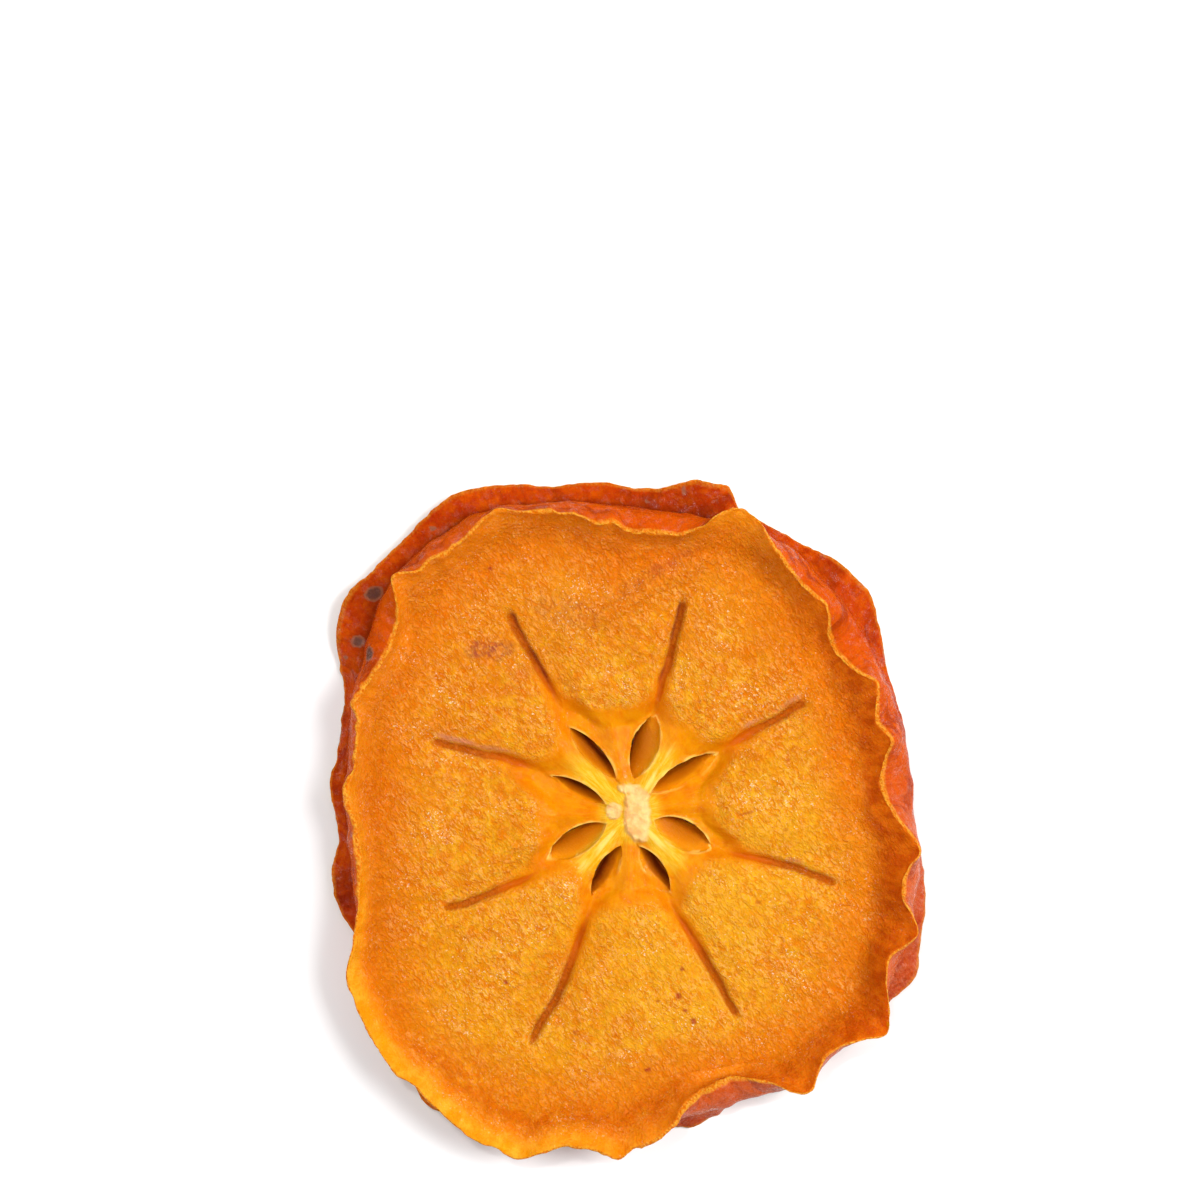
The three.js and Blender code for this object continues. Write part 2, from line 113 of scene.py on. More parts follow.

# How golden the inner wall is near its edge, and how much painted shade lies at its foot, from 0 to 1
GOLDEN = {
    0: 0, 50: 0.1, 68: 0.45, 90: 0.15, 150: 0.15, 178: 0.5, 200: 1, 250: 1, 265: 0.7, 282: 0.3,
    300: 0.1, 330: 0,
}
FOOT_SHADE = {
    0: 0.6, 60: 0.5, 100: 0.3, 140: 0.15, 175: 0.35, 200: 0.3, 235: 0.65, 262: 0.85, 300: 0.7,
    340: 0.6,
}

# How matt and pinkish the peel is, from 0 to 1: a powdery coat, partly a painted sheen
BLOOM_AND_SHEEN = {0: 0.6, 20: 0.15, 60: 0.05, 150: 0.05, 200: 0.1, 260: 0.5, 300: 0.8, 340: 0.9}

# Middle of the stretch, in degrees, where the two lips of the peel press a fold between them, with
# painted shade along it
FOLD_MIDDLE = 135

# Height and thickness of the lower edge, and the three spots that the slice rests on
LOWER_EDGE_HEIGHT = 0.5
LOWER_EDGE_THICKNESS = 0.5
LOWER_EDGE_WAVE = 0.16
FLARE_LIFT = 0.25
FOOT_ANGLES = [40, 160, 285]
FOOT_DEPTH = -0.35  # under the floor, so it is cut flat
FOOT_SPREAD = 9

# Hollow round the core: its shore, and how much further out it lies where a groove runs into it
SHORE = {8: 9, 53: 10.2, 98: 10.8, 141: 10.4, 183: 9.3, 228: 9.3, 271: 9.7, 319: 9.1}
SHORE_SLOPE = 2.6
UPPER_HOLLOW = 1.1
LOWER_HOLLOW = 0.2

# Eight seed chambers: tips from the pith outwards, width at the lip, the side that the chamber
# leans to on its way down, 1 for the left seen from the pith and -1 for the right, how well the
# lip is kept on the other side, from 0 to 1, and how much painted shade darkens the chamber inside
Chamber = namedtuple("Chamber", "inner outer width lean near_lip gloom")
CHAMBERS = [
    Chamber((-1.4, 3.4), (-6.1, 8.5), 1.8, -1, 0.3, 1.05),
    Chamber((0.4, 3.4), (2.6, 9.7), 2.7, 1, 1, 0.65),
    Chamber((2.1, 2), (8.8, 5.8), 2.2, 1, 0.6, 0.7),
    Chamber((2.4, -0.7), (8.1, -3.7), 2.9, 1, 1, 0.6),
    Chamber((0.9, -3.4), (4, -8), 2, 1, 0.3, 1.1),
    Chamber((-0.9, -3.3), (-3.8, -8.6), 2.1, -1, 0.3, 1.05),
    Chamber((-2.4, -1.1), (-8.1, -4.6), 2.6, -1, 0.9, 0.6),
    Chamber((-2.5, 0.9), (-8, 3.6), 1.7, -1, 0.3, 0.85),
]
CHAMBER_FLOOR = 0.35  # width at the lower face, as a share of the lip's
CHAMBER_SIDES = 56

# Depth under the flesh's top, and how far a chamber has narrowed and leaned over there
CHAMBER_FALL = [
    (-2, 0), (0.8, 0), (1, 0.06), (1.2, 0.18), (1.45, 0.38), (1.7, 0.6), (2, 0.8),
    (2.3, 0.93), (2.9, 1), (4.7, 1.05),
]

# Walls between the chambers: four pale rays and four thin septa
RAYS = [57, 138, 229, 314]
SEPTA = [8, 102, 182, 269]
RAY = {"height": 1.1, "width": 1.9}
SEPTUM = {"height": 0.65, "width": 0.9}
CREST_ROUNDING = 0.5
PITH_RADIUS = 1.35
PITH_HEIGHT = 1.15

# Eight narrow grooves, from the core outwards: depth, how far they bow to the left, and how strong
# the painted shade, the pale painted highlight and the greyish tint along their edges are, above 0
# on the left and below 0 on the right
Groove = namedtuple("Groove", "start end depth bow dark pale grey")
GROOVES = [
    Groove((-7.3, 10.9), (-12.3, 20.4), 0.7, 0, -1, 0.3, -0.2),
    Groove((2.6, 10.3), (5.5, 21.7), 0.7, 0, 0.9, -0.2, 0.1),
    Groove((9.4, 6.6), (17.9, 11.3), 0.5, 0, 0.2, -0.4, 0.7),
    Groove((9.6, -4.1), (21, -7.2), 0.55, 0.4, 0.3, -0.4, 0.6),
    Groove((4.2, -9.5), (10.9, -20.9), 0.65, 0.2, 0.3, -0.9, 0.1),
    Groove((-4.2, -9.7), (-10.2, -23.7), 0.65, 0.5, -0.5, 0.2, -0.3),
    Groove((-9.2, -6), (-18.8, -9.9), 0.5, 0.2, -0.2, 0.4, -0.4),
    Groove((-9.4, 4.3), (-20.2, 7.4), 0.45, -0.2, -0.2, 0.3, -0.9),
]
GROOVE_WIDTH = 1.1
VALLEY_WIDTH = 1.3  # of the soft valley that a groove begins in
VALLEY_DEPTH = 0.3
GROOVE_ANGLES = [32, 76, 121, 160, 208, 247, 297.5, 341.5]
GROOVE_REACH = [3, 1.6, 3.2, 2.6, 1.8, 1.9, 1.6, 3]
GROOVE_MOUTH = 8  # degrees
PILLOW = 0.5

# Relief of the cut face: how high each kind of bump stands, and the fold across the upper part
CRINKLES = 0.09
RADIAL_CRINKLES = 0.06
SWELLS = 0.14
SMALL_SWELLS = 0.09
LIP = {"height": 0.24, "width": 0.4, "worn_depth": 0.4, "worn_width": 0.7}
FOLD = {"height": 0.48, "half_width": 0.9, "slope": (0.5, -0.866), "offset": 18.4}

# Relief of the rim: wrinkles and upright puckers of the peel, bumps of its edge and inner wall
PEEL_WRINKLES = 0.1
PUCKERS = 0.16
EDGE_BUMPS = 0.07
WALL_BUMPS = 0.09

# Marks: place, half length, half width, the way they run in degrees, and strength
SCARS = [
    ((-25.7, 21.9), 0.8, 0.7, 40, 0.8), ((-27.4, 17.1), 0.65, 0.5, 0, 0.8),
    ((-26.2, 15.9), 0.75, 0.5, 80, 1), ((-28.6, 15.4), 0.3, 0.25, 0, 0.7),
    ((-20.9, 26.5), 0.3, 0.3, 0, 0.6), ((-19.8, 28.5), 0.3, 0.25, 0, 0.6),
    ((5.4, 32.3), 0.3, 0.25, 0, 0.6), ((1.7, 31.2), 0.25, 0.25, 0, 0.5),
]
SPECKS = [
    ((-13.9, 24.4), 0.25, 0.2, 0, 0.7), ((-3.6, 18.6), 0.3, 0.25, 0, 0.5),
    ((6.9, 11.2), 0.4, 0.25, 30, 0.6), ((15.7, 5.3), 0.3, 0.25, 0, 0.5),
    ((11.6, 0), 0.9, 0.2, 15, 0.5), ((12.9, 0.3), 0.6, 0.18, -30, 0.4),
    ((15.5, -1.7), 0.5, 0.25, 20, 0.4), ((12.7, -8.9), 0.3, 0.25, 0, 0.5),
    ((-21.5, 1.1), 0.3, 0.25, 0, 0.4), ((-12.4, -16.9), 0.35, 0.3, 0, 0.8),
    ((-5.5, -21.9), 0.3, 0.3, 0, 0.5), ((-6.4, -24.1), 0.3, 0.2, 0, 0.4),
    ((4.8, -18.2), 0.45, 0.4, 0, 0.7), ((2.8, -18.8), 0.3, 0.25, 0, 0.6),
    ((5.5, -19.7), 0.4, 0.2, -20, 0.8), ((6.4, -20.8), 0.35, 0.3, 0, 0.8),
    ((5.2, -15.6), 0.25, 0.3, 0, 0.7), ((1.8, -25.7), 0.35, 0.25, 0, 0.8),
    ((25.4, -10.2), 0.5, 0.2, 20, 0.5),
]
STAINS = [
    ((-14, 16.4), 2.6, 1, 8, 0.8), ((-13.4, 16.7), 1, 0.5, 15, 1),
    ((-6.5, 20.3), 3.5, 1.6, -10, 0.35), ((-11, 13.6), 1.6, 1, 40, 0.2),
    ((1.2, 23.4), 6, 0.7, 30, 0.3),
]

# Broad areas where the flesh is yellower, above 0, or browner, below 0: place, reach and strength
TONES = [
    ((3, -15), 8, 0.7), ((14, -2), 7, 0.5), ((9, -9), 7, 0.5), ((-8, -8), 6, 0.3),
    ((0, 14), 4, 0.3), ((-12, 22), 8, -0.6), ((0, 24), 7, -0.7), ((14, 19), 7, -0.5),
    ((-22, 2), 5, -0.4), ((22, -14), 6, -0.5), ((23, 6), 5, -0.5), ((-10, -26), 6, 0.5),
    ((-18, -22), 7, 0.5), ((4, -27), 7, -0.3), ((-20, 14), 5, -0.3),
]

# Way that the fine wrinkles of the flesh run
WRINKLE_DIRECTION = -50

# Lights: place and size in metres, and power in watts
LIGHTS = {
    "key": ((0.42, 0.12, 0.55), 0.34, 4.9),
    "glint": ((-0.1, 0.2, 0.65), 0.05, 0.9),
    "left fill": ((-0.5, 0, 0.55), 0.6, 2.2),
    "top fill": ((0, 0.6, 0.5), 0.5, 0.8),
}
SURROUNDINGS = 0.29

# Camera straight above: width of the picture, and the place at its middle
VIEW_WIDTH = 120
VIEW_MIDDLE = (-3, 21.3)
LENS, SENSOR = 100, 36

# Fineness of the mesh: columns round it and rings of the two cut faces
COLUMNS = 720
MEAN_FACE = 25.5
UPPER_RADII = np.concatenate([np.arange(0.3, 14, 0.2), np.arange(14, MEAN_FACE, 0.33)])
LOWER_RADII = np.concatenate([np.arange(0.6, 12, 0.6), np.arange(12, MEAN_FACE, 1.2)])


def smoothstep(low, high, value):
    t = np.clip((value - low) / (high - low), 0, 1)
    return t * t * (3 - 2 * t)


def bell(value):
    return np.exp(-(value**2))


def angle_between(a, b):
    return np.abs((a - b + 180) % 360 - 180)


def angle_to_groove(degrees):
    return np.min([angle_between(groove, degrees) for groove in GROOVE_ANGLES], axis=0)


def polar(x, y):
    return np.hypot(x, y), np.degrees(np.arctan2(y, x))


def outline(levels):
    """A smooth closed curve through a level at each angle, with no overshoot at crests and dips."""
    angles, values = np.array(list(levels.items()), float).T
    angles = np.concatenate([angles[-2:] - 360, angles, angles[:2] + 360])
    values = np.concatenate([values[-2:], values, values[:2]])
    rise = np.diff(values) / np.diff(angles)
    before, after = rise[:-1], rise[1:]
    monotone = before * after > 0
    inner = np.where(monotone, 2 * before * after / np.where(monotone, before + after, 1), 0)
    slope = np.concatenate([[0], inner, [0]])

    def at(degrees):
        turned = np.mod(degrees, 360)
        i = np.clip(np.searchsorted(angles, turned, side="right") - 1, 0, len(angles) - 2)
        span = angles[i + 1] - angles[i]
        t = (turned - angles[i]) / span
        level = values[i] + (values[i + 1] - values[i]) * t * t * (3 - 2 * t)
        return level + span * t * (1 - t) * ((1 - t) * slope[i] - t * slope[i + 1])

    return at


upper_radius = outline(UPPER_EDGE)
lower_radius = outline(LOWER_EDGE)
waist_radius = outline(WAIST)
crease_radius = outline(CREASE)
browning_and_shade = outline(BROWNING_AND_SHADE)
edge_thickness = outline(EDGE_THICKNESS)
crumbling = outline(CRUMBLING)
bloom_and_sheen_strength = outline(BLOOM_AND_SHEEN)
golden_strength = outline(GOLDEN)
foot_shade = outline(FOOT_SHADE)
plain_shore = outline(SHORE)


def shore_radius(degrees):
    """Where the hollow round the core ends, with a bay where each groove begins."""
    bays = [
        reach * bell(angle_between(groove, degrees) / GROOVE_MOUTH)
        for groove, reach in zip(GROOVE_ANGLES, GROOVE_REACH)
    ]
    return plain_shore(degrees) + np.max(bays, axis=0)


def lattice(x, y, z, seed):
    """A fixed random number from -1 to 1 for each point with whole-number coordinates."""
    mixed = x * 374761393 + y * 668265263 + z * 2147483647 + seed * 144665
    mixed = (mixed ^ (mixed >> 13)) * 1274126177
    mixed = (mixed ^ (mixed >> 16)) & 0xFFFFFF
    return mixed / 0x7FFFFF - 1


def noise(x, y, z, seed):
    """Smooth random bumps about one unit across, from -1 to 1."""
    corners = [np.floor(value).astype(np.int64) for value in (x, y, z)]
    eases = [smoothstep(0, 1, value - low) for value, low in zip((x, y, z), corners)]
    total = 0
    for steps in product((0, 1), repeat=3):
        weight = 1
        for step, ease in zip(steps, eases):
            weight = weight * (ease if step else 1 - ease)
        place = [low + step for low, step in zip(corners, steps)]
        total = total + weight * lattice(*place, seed)
    return total


def rough(x, y, size, seed, octaves=3, z=0):
    """Bumps of several sizes, the largest about the given size in millimetres."""
    return sum(
        noise(x / size * 2**k, y / size * 2**k, z / size * 2**k, seed + k) * 0.55**k
        for k in range(octaves)
    )


def fibres(x, y, size, length, seed):
    """Streaks that run outwards from the pith."""
    radius = np.hypot(x, y) + 1e-6
    across = 20 / size
    return noise(x / radius * across, y / radius * across, radius / length, seed)


def spot(x, y, place, half_length, half_width, turn):
    """1 in the middle of an oval mark, falling smoothly to 0 past its ragged edge."""
    dx, dy = x - place[0], y - place[1]
    c, s = math.cos(math.radians(turn)), math.sin(math.radians(turn))
    u = (dx * c + dy * s) / half_length
    v = (dy * c - dx * s) / half_width
    ragged = 0.3 * rough(x, y, 1.1, 140, 2)
    return 1 - smoothstep(0.6, 1.35, np.hypot(u, v) + ragged)


def chamber_axes(chamber):
    """Centre, half length, half width, and the directions along and across a chamber."""
    inner, outer = np.array(chamber.inner), np.array(chamber.outer)
    along = (outer - inner) / 2
    half_length = np.hypot(*along)
    along = along / half_length
    across = np.array([-along[1], along[0]])
    return (inner + outer) / 2, half_length, chamber.width / 2, along, across


def chamber_side(share):
    """How wide a chamber is, from 1 at its middle to 0 at its pointed tips."""
    return (1 - np.minimum(np.abs(share), 1) ** 2.2) ** 0.9


def chamber_distance(chamber, x, y):
    """Distance outside a chamber's lip, negative inside, and which way along Y that lies."""
    centre, half_length, half_width, along, across = chamber_axes(chamber)
    dx, dy = x - centre[0], y - centre[1]
    u = (dx * along[0] + dy * along[1]) / half_length
    v = dx * across[0] + dy * across[1]
    side = half_width * chamber_side(u)
    past = np.maximum(np.abs(u) - 1, 0) * half_length
    distance = np.where(np.abs(u) < 1, np.abs(v) - side, np.hypot(past, v))
    return distance, np.sign(v) * across[1]


def groove_place(groove, x, y):
    """Distance across a groove and how far along it a point lies, 0 to 1."""
    start, end = np.array(groove.start), np.array(groove.end)
    length = np.hypot(*(end - start))
    way = (end - start) / length
    dx, dy = x - start[0], y - start[1]
    along = (dx * way[0] + dy * way[1]) / length
    across = dy * way[0] - dx * way[1]
    wobble = 0.16 * rough(x, y, 3, 150, 2)
    return across - groove.bow * 4 * along * (1 - along) + wobble, along


def hollow_at(radius, degrees):
    """How far down the rounded shore of the hollow a point lies, 0 on the flesh to 1 inside."""
    shore = shore_radius(degrees)
    inward = np.clip((shore + 0.6 - radius) / SHORE_SLOPE, 0, 1)
    return 1 - np.sqrt(1 - smoothstep(0, 1, inward) ** 1.4 + 1e-9)


def ridge(shape, crest, radius, degrees):
    """A wall between two chambers, stretched like a tent from its crest line."""
    apart = angle_between(crest, degrees)
    across = radius * np.sin(np.radians(np.minimum(apart, 90)))
    across = np.hypot(across, CREST_ROUNDING) - CREST_ROUNDING
    tent = np.maximum(0, 1 - across / (shape["width"] * (0.5 + radius / 8)))
    return np.where(apart < 80, shape["height"] * tent**1.3 * smoothstep(0.4, 1.6, radius), 0)


def pillow(radius, degrees):
    """How high the flesh swells between the grooves."""
    shore = shore_radius(degrees)
    window = smoothstep(shore - 1, shore + 1.5, radius) * (1 - smoothstep(19, 25, radius))
    return PILLOW * window * smoothstep(0, 11, angle_to_groove(degrees))


def groove_depth(x, y, share=1):
    """How deep the grooves cut, and how far a point is down a groove or its soft valley, 0 to 1."""
    depth, inside, valleys = 0 * x, 0 * x, 0 * x
    for groove in GROOVES:
        across, along = groove_place(groove, x, y)
        fade = smoothstep(-0.15, 0.2, along) * (1 - smoothstep(0.9, 1.03, along))
        width = GROOVE_WIDTH * (0.6 + 0.12 * rough(x, y, 1.3, 155, 1)) * fade**0.5
        cut = (1 - smoothstep(0.1, 0.1 + width, np.abs(across))) * fade
        bank = bell((np.abs(across) - 0.85) / 0.35) * fade
        valley = bell(across / VALLEY_WIDTH) * smoothstep(-0.4, -0.1, along)
        valley = valley * (1 - smoothstep(0.2, 0.75, along))
        cut_depth = cut * groove.depth * share - 0.1 * bank + VALLEY_DEPTH * share * valley
        depth = np.maximum(depth, cut_depth)
        inside = np.maximum(inside, cut)
        valleys = np.maximum(valleys, valley)
    return depth, inside, valleys


# Edges of the grooves: how far off the middle each kind lies and how wide it is
GROOVE_EDGES = {"dark": (0.32, 0.24), "pale": (0.55, 0.16), "grey": (0.75, 0.3)}


def groove_edges(x, y):
    """How strong the painted shade, the pale painted highlight and the greyish tint on groove edges
    are.
    """
    masks = {kind: 0 * x for kind in GROOVE_EDGES}
    patchy = np.clip(0.75 + 0.6 * rough(x, y, 1.5, 160, 1), 0, 1)
    for groove in GROOVES:
        across, along = groove_place(groove, x, y)
        ends = smoothstep(0.05, 0.35, along) * (1 - smoothstep(0.9, 1.02, along))
        for kind, (middle, width) in GROOVE_EDGES.items():
            strength = getattr(groove, kind)
            aside = (across * np.sign(strength) - middle) / width
            masks[kind] = np.maximum(masks[kind], abs(strength) * bell(aside) * ends * patchy)
    return masks


def pith_masks(x, y):
    """The two blobs of dry pith."""
    wobble = 0.13 * rough(x, y, 0.9, 21)
    large = (np.abs((x - 0.75) / 1.3) ** 3 + np.abs((y + 0.1) / 2.7) ** 3) ** (1 / 3)
    small = np.hypot((x + 1.6) / 0.85, (y - 0.2) / 0.8)
    top = np.hypot((x - 0.1) / 1.3, (y - 2.4) / 0.5)
    nearest = np.minimum(np.minimum(large, small), top) + wobble
    return 1 - smoothstep(0.85, 1.12, nearest)


def upper_face(x, y):
    """Height of the upper cut face, with all its relief."""
    radius, degrees = polar(x, y)
    hollow = hollow_at(radius, degrees)
    rays = [ridge(RAY, crest, radius, degrees) for crest in RAYS]
    septa = [ridge(SEPTUM, crest, radius, degrees) for crest in SEPTA]
    walls = np.max(rays + septa, axis=0)
    pith = pith_masks(x, y)
    walls = np.maximum(walls, 0.75 * (1 - smoothstep(2.4, 3.6, radius)))
    walls = np.maximum(walls, pith * (PITH_HEIGHT + 0.12 * rough(x, y, 0.7, 5)))

    lips = 0 * x
    for chamber in CHAMBERS:
        distance, facing = chamber_distance(chamber, x, y)
        near = np.maximum(0, -facing)
        kept = 1 - near * (1 - chamber.near_lip)
        torn = 1 + 0.45 * rough(x, y, 0.5, 72, 2)
        raised = LIP["height"] * bell(distance / LIP["width"]) * kept * torn
        outside = np.maximum(distance, 0) / LIP["worn_width"]
        lips = lips + raised - LIP["worn_depth"] * bell(outside) * (1 - kept)

    depth = groove_depth(x, y)[0]
    field = 1 - hollow
    crinkles = CRINKLES * rough(x, y, 0.8, 40, 2)
    crinkles = crinkles + RADIAL_CRINKLES * fibres(x, y, 0.8, 2.2, 50)
    swells = SWELLS * rough(x, y, 5, 60, 1) + SMALL_SWELLS * rough(x, y, 2.2, 62, 2)
    crossing = (FOLD["slope"][0] * x + FOLD["slope"][1] * y + FOLD["offset"]) / FOLD["half_width"]
    ends = smoothstep(-9, -5, x) * smoothstep(12, 8, x)
    fold = FOLD["height"] * bell(crossing) * ends
    relief = field * (crinkles + swells + fold) + hollow * 0.02 * rough(x, y, 1.2, 70)
    level = FLESH_TOP + pillow(radius, degrees) + hollow * (walls + lips - UPPER_HOLLOW)
    return level - depth + relief


def lower_face(x, y):
    """Height of the lower cut face."""
    radius, degrees = polar(x, y)
    hollow = hollow_at(radius + 0.8, degrees)
    pith = 1 - smoothstep(PITH_RADIUS * 0.7, PITH_RADIUS * 1.6, radius)
    depth = groove_depth(x, y, 0.6)[0]
    level = FLESH_BOTTOM - 0.5 * pillow(radius, degrees) + hollow * (1 - pith) * LOWER_HOLLOW
    return level + depth + 0.08 * rough(x, y, 1.8, 80)


def lower_edge_height(degrees):
    """Height of the peel's lower edge, which dips below the floor's level at the feet."""
    wave = np.sin(np.radians(5 * degrees + 40)) + np.sin(np.radians(8 * degrees + 115))
    flare = np.maximum(0, lower_radius(degrees) - waist_radius(degrees))
    feet = [bell(angle_between(angle, degrees) / FOOT_SPREAD) for angle in FOOT_ANGLES]
    foot = np.max(feet, axis=0)
    free = LOWER_EDGE_HEIGHT + LOWER_EDGE_WAVE * wave + FLARE_LIFT * flare
    return free + (FOOT_DEPTH - free) * foot


def bend(start, pull, end, steps):
    """Rows of (radius, height) on a curve from start to end, without start, with end."""
    return [
        [(1 - t) ** 2 * a + 2 * t * (1 - t) * b + t * t * c for a, b, c in zip(start, pull, end)]
        for t in np.arange(1, steps + 1) / steps
    ]


def rim_noise(turn, fineness, seed):
    """Random bumps round the rim, from -1 to 1."""
    return noise(fineness * np.cos(turn), fineness * np.sin(turn), 0 * turn, seed)


def rim_rows(degrees):
    """The rim's section at every angle, row by row: radius, height, and what each row shows."""
    waist = (waist_radius(degrees), WAIST_HEIGHT + 0 * degrees)
    level = crease_radius(degrees) - RUN_IN
    turn = np.radians(degrees)
    x, y = level * np.cos(turn), level * np.sin(turn)

    ragged = 0.24 * rim_noise(turn, 24, 90) + 0.16 * rim_noise(turn, 60, 91)
    ragged = ragged * crumbling(degrees)
    lean = upper_radius(degrees) - waist[0] + ragged
    rise = np.sqrt(np.maximum(UPPER_LIP**2 - lean**2, (FLATTEST_LIP * UPPER_LIP) ** 2))
    rise = rise + 0.14 * rim_noise(turn, 14, 92) + 0.1 * rim_noise(turn, 50, 93)
    length = np.hypot(lean, rise)
    upper = (waist[0] + lean, waist[1] + rise)
    thickness = np.maximum(edge_thickness(degrees) + 0.6 * ragged, 0.1)
    inner = (upper[0] - thickness * rise / length, upper[1] + thickness * lean / length)
    field = (level, upper_face(x, y))
    crease = (crease_radius(degrees) + 0.4, FLESH_TOP + 0.1 + 0 * degrees)

    flare = lower_radius(degrees) - waist[0]
    lowest = np.maximum(lower_edge_height(degrees), 0)
    thickness = LOWER_EDGE_THICKNESS
    reach = np.hypot(flare, waist[1] - lowest)
    flare = flare + 0.6 * ragged
    lower = (waist[0] + flare, lowest + thickness * np.maximum(0, flare) / reach)
    lower_inner = (lower[0] - thickness * (waist[1] - lowest) / reach, lowest)
    under = (level, lower_face(x, y))

    upper_pull = (waist[0] + 0.1, 0.4 * waist[1] + 0.6 * upper[1])
    lower_pull = (waist[0] + 0.1, 0.5 * waist[1] + 0.5 * lower[1])
    parts = [
        ("wall", bend(field, crease, inner, 22)),
        ("edge", bend(inner, [(inner[k] + upper[k]) / 2 + 0.1 * k for k in (0, 1)], upper, 3)),
        ("skin", bend(upper, upper_pull, waist, 12)),
        ("lower skin", bend(waist, lower_pull, lower, 10)),
        ("edge", bend(lower, [(lower[k] + lower_inner[k]) / 2 for k in (0, 1)], lower_inner, 2)),
        ("under", bend(lower_inner, (waist[0] - UNDER_WALL, FLESH_BOTTOM), under, 8)),
    ]
    rows = [{"kind": "field", "radius": field[0], "height": field[1], "share": 0, "nearness": 0}]
    for kind, curve in parts:
        lip_radius, lip_height = curve[-1]
        for i, (radius, height) in enumerate(curve):
            nearness = 1 - np.hypot(lip_radius - radius, lip_height - height) / LIP_BAND
            rows.append({
                "kind": kind, "radius": radius, "height": height, "share": (i + 1) / len(curve),
                "nearness": np.clip(nearness, 0, 1),
            })
    return rows


def column_step(radius, fine):
    """Every how many columns a ring of this radius keeps."""
    step = 8 if radius < 1.5 else 4 if radius < 5 else 2 if radius < 14 else 1
    return step if fine else max(4 if radius < 8 else 2, step)


def stitch(first, second):
    """Faces between two rings of vertex numbers, where one may have twice as many."""
    if len(first) == len(second):
        next_first, next_second = np.roll(first, -1), np.roll(second, -1)
        return np.stack([first, second, next_second, next_first], 1).tolist()
    if len(second) == 2 * len(first):
        even, odd = second[::2], second[1::2]
        fans = np.stack([first, even, odd], 1).tolist()
        return fans + np.stack([first, odd, np.roll(even, -1), np.roll(first, -1)], 1).tolist()
    even, odd = first[::2], first[1::2]
    fans = np.stack([odd, np.roll(second, -1), np.roll(even, -1)], 1).tolist()
    return fans + np.stack([even, second, np.roll(second, -1), odd], 1).tolist()


MASKS = ["peel", "cut_edge", "wall", "flare"]


def surface_rings():
    """All rings of the slice's surface from the pith over the rim to the lower face."""
    degrees = np.arange(COLUMNS) * 360 / COLUMNS
    turn = np.radians(degrees)
    face_radius = crease_radius(degrees) - RUN_IN
    rings = []

    def add(radius, height, step, **masks):
        rings.append({
            "x": radius * np.cos(turn), "y": radius * np.sin(turn), "z": height + 0 * turn,
            "step": step, "masks": {name: masks.get(name, 0) + 0 * turn for name in MASKS},
        })

    def add_face(face, reaches, fine):
        for reach in reaches:
            radius = reach / MEAN_FACE * face_radius
            height = face(radius * np.cos(turn), radius * np.sin(turn))
            add(radius, height, column_step(reach, fine))

    add_face(upper_face, UPPER_RADII, True)
    for row in rim_rows(degrees):
        share = row["share"]
        wall = smoothstep(0, 0.75, share) if row["kind"] == "wall" else 0
        worn = 0.6 if row["kind"] == "lower skin" and share > 0.95 else 0
        add(
            row["radius"], row["height"], 1 if row["kind"] != "under" or share < 0.3 else 2,
            peel=float(row["kind"] in ("skin", "lower skin")),
            cut_edge=max(worn, float(row["kind"] == "edge")),
            wall=wall * browning_and_shade(degrees),
            flare=row["nearness"] if row["kind"] == "wall" else 0,
        )
    add_face(lower_face, LOWER_RADII[::-1], False)
    return rings


def roughen(rings):
    """Presses wrinkles into the peel, its edge and its inner wall, along the surface's normal."""
    x, y, z = (np.array([ring[axis] for ring in rings]) for axis in "xyz")
    points = np.stack([x, y, z], -1)
    down = np.gradient(points, axis=0)
    round_way = np.roll(points, -1, axis=1) - np.roll(points, 1, axis=1)
    normal = np.cross(down, round_way)
    normal /= np.linalg.norm(normal, axis=-1, keepdims=True) + 1e-12
    peel, edge, wall = (
        np.array([ring["masks"][name] for ring in rings])
        for name in ("peel", "cut_edge", "flare")
    )
    radius = np.hypot(x, y)
    peel_bumps = PEEL_WRINKLES * rough(x, y, 2.4, 100, z=1.6 * z) + 0.03 * rough(x, y, 0.7, 104, 2, z)
    peel_bumps = peel_bumps + PUCKERS * noise(x / radius * 19, y / radius * 19, z / 3.5, 106)
    edge_bumps = EDGE_BUMPS * rough(x, y, 0.6, 110, z=z)
    wall_bumps = WALL_BUMPS * rough(x, y, 1.3, 120, z=z)
    wall_bumps = wall_bumps + RADIAL_CRINKLES * fibres(x, y, 0.9, 3, 124)
    lift = peel * peel_bumps + edge * edge_bumps
    lift = lift + smoothstep(0, 0.3, wall) * (1 - edge) * wall_bumps
    moved = points + normal * lift[..., None]
    floor = np.maximum(moved[..., 2], 0)
    for i, ring in enumerate(rings):
        ring["x"], ring["y"], ring["z"] = moved[i, :, 0], moved[i, :, 1], floor[i]


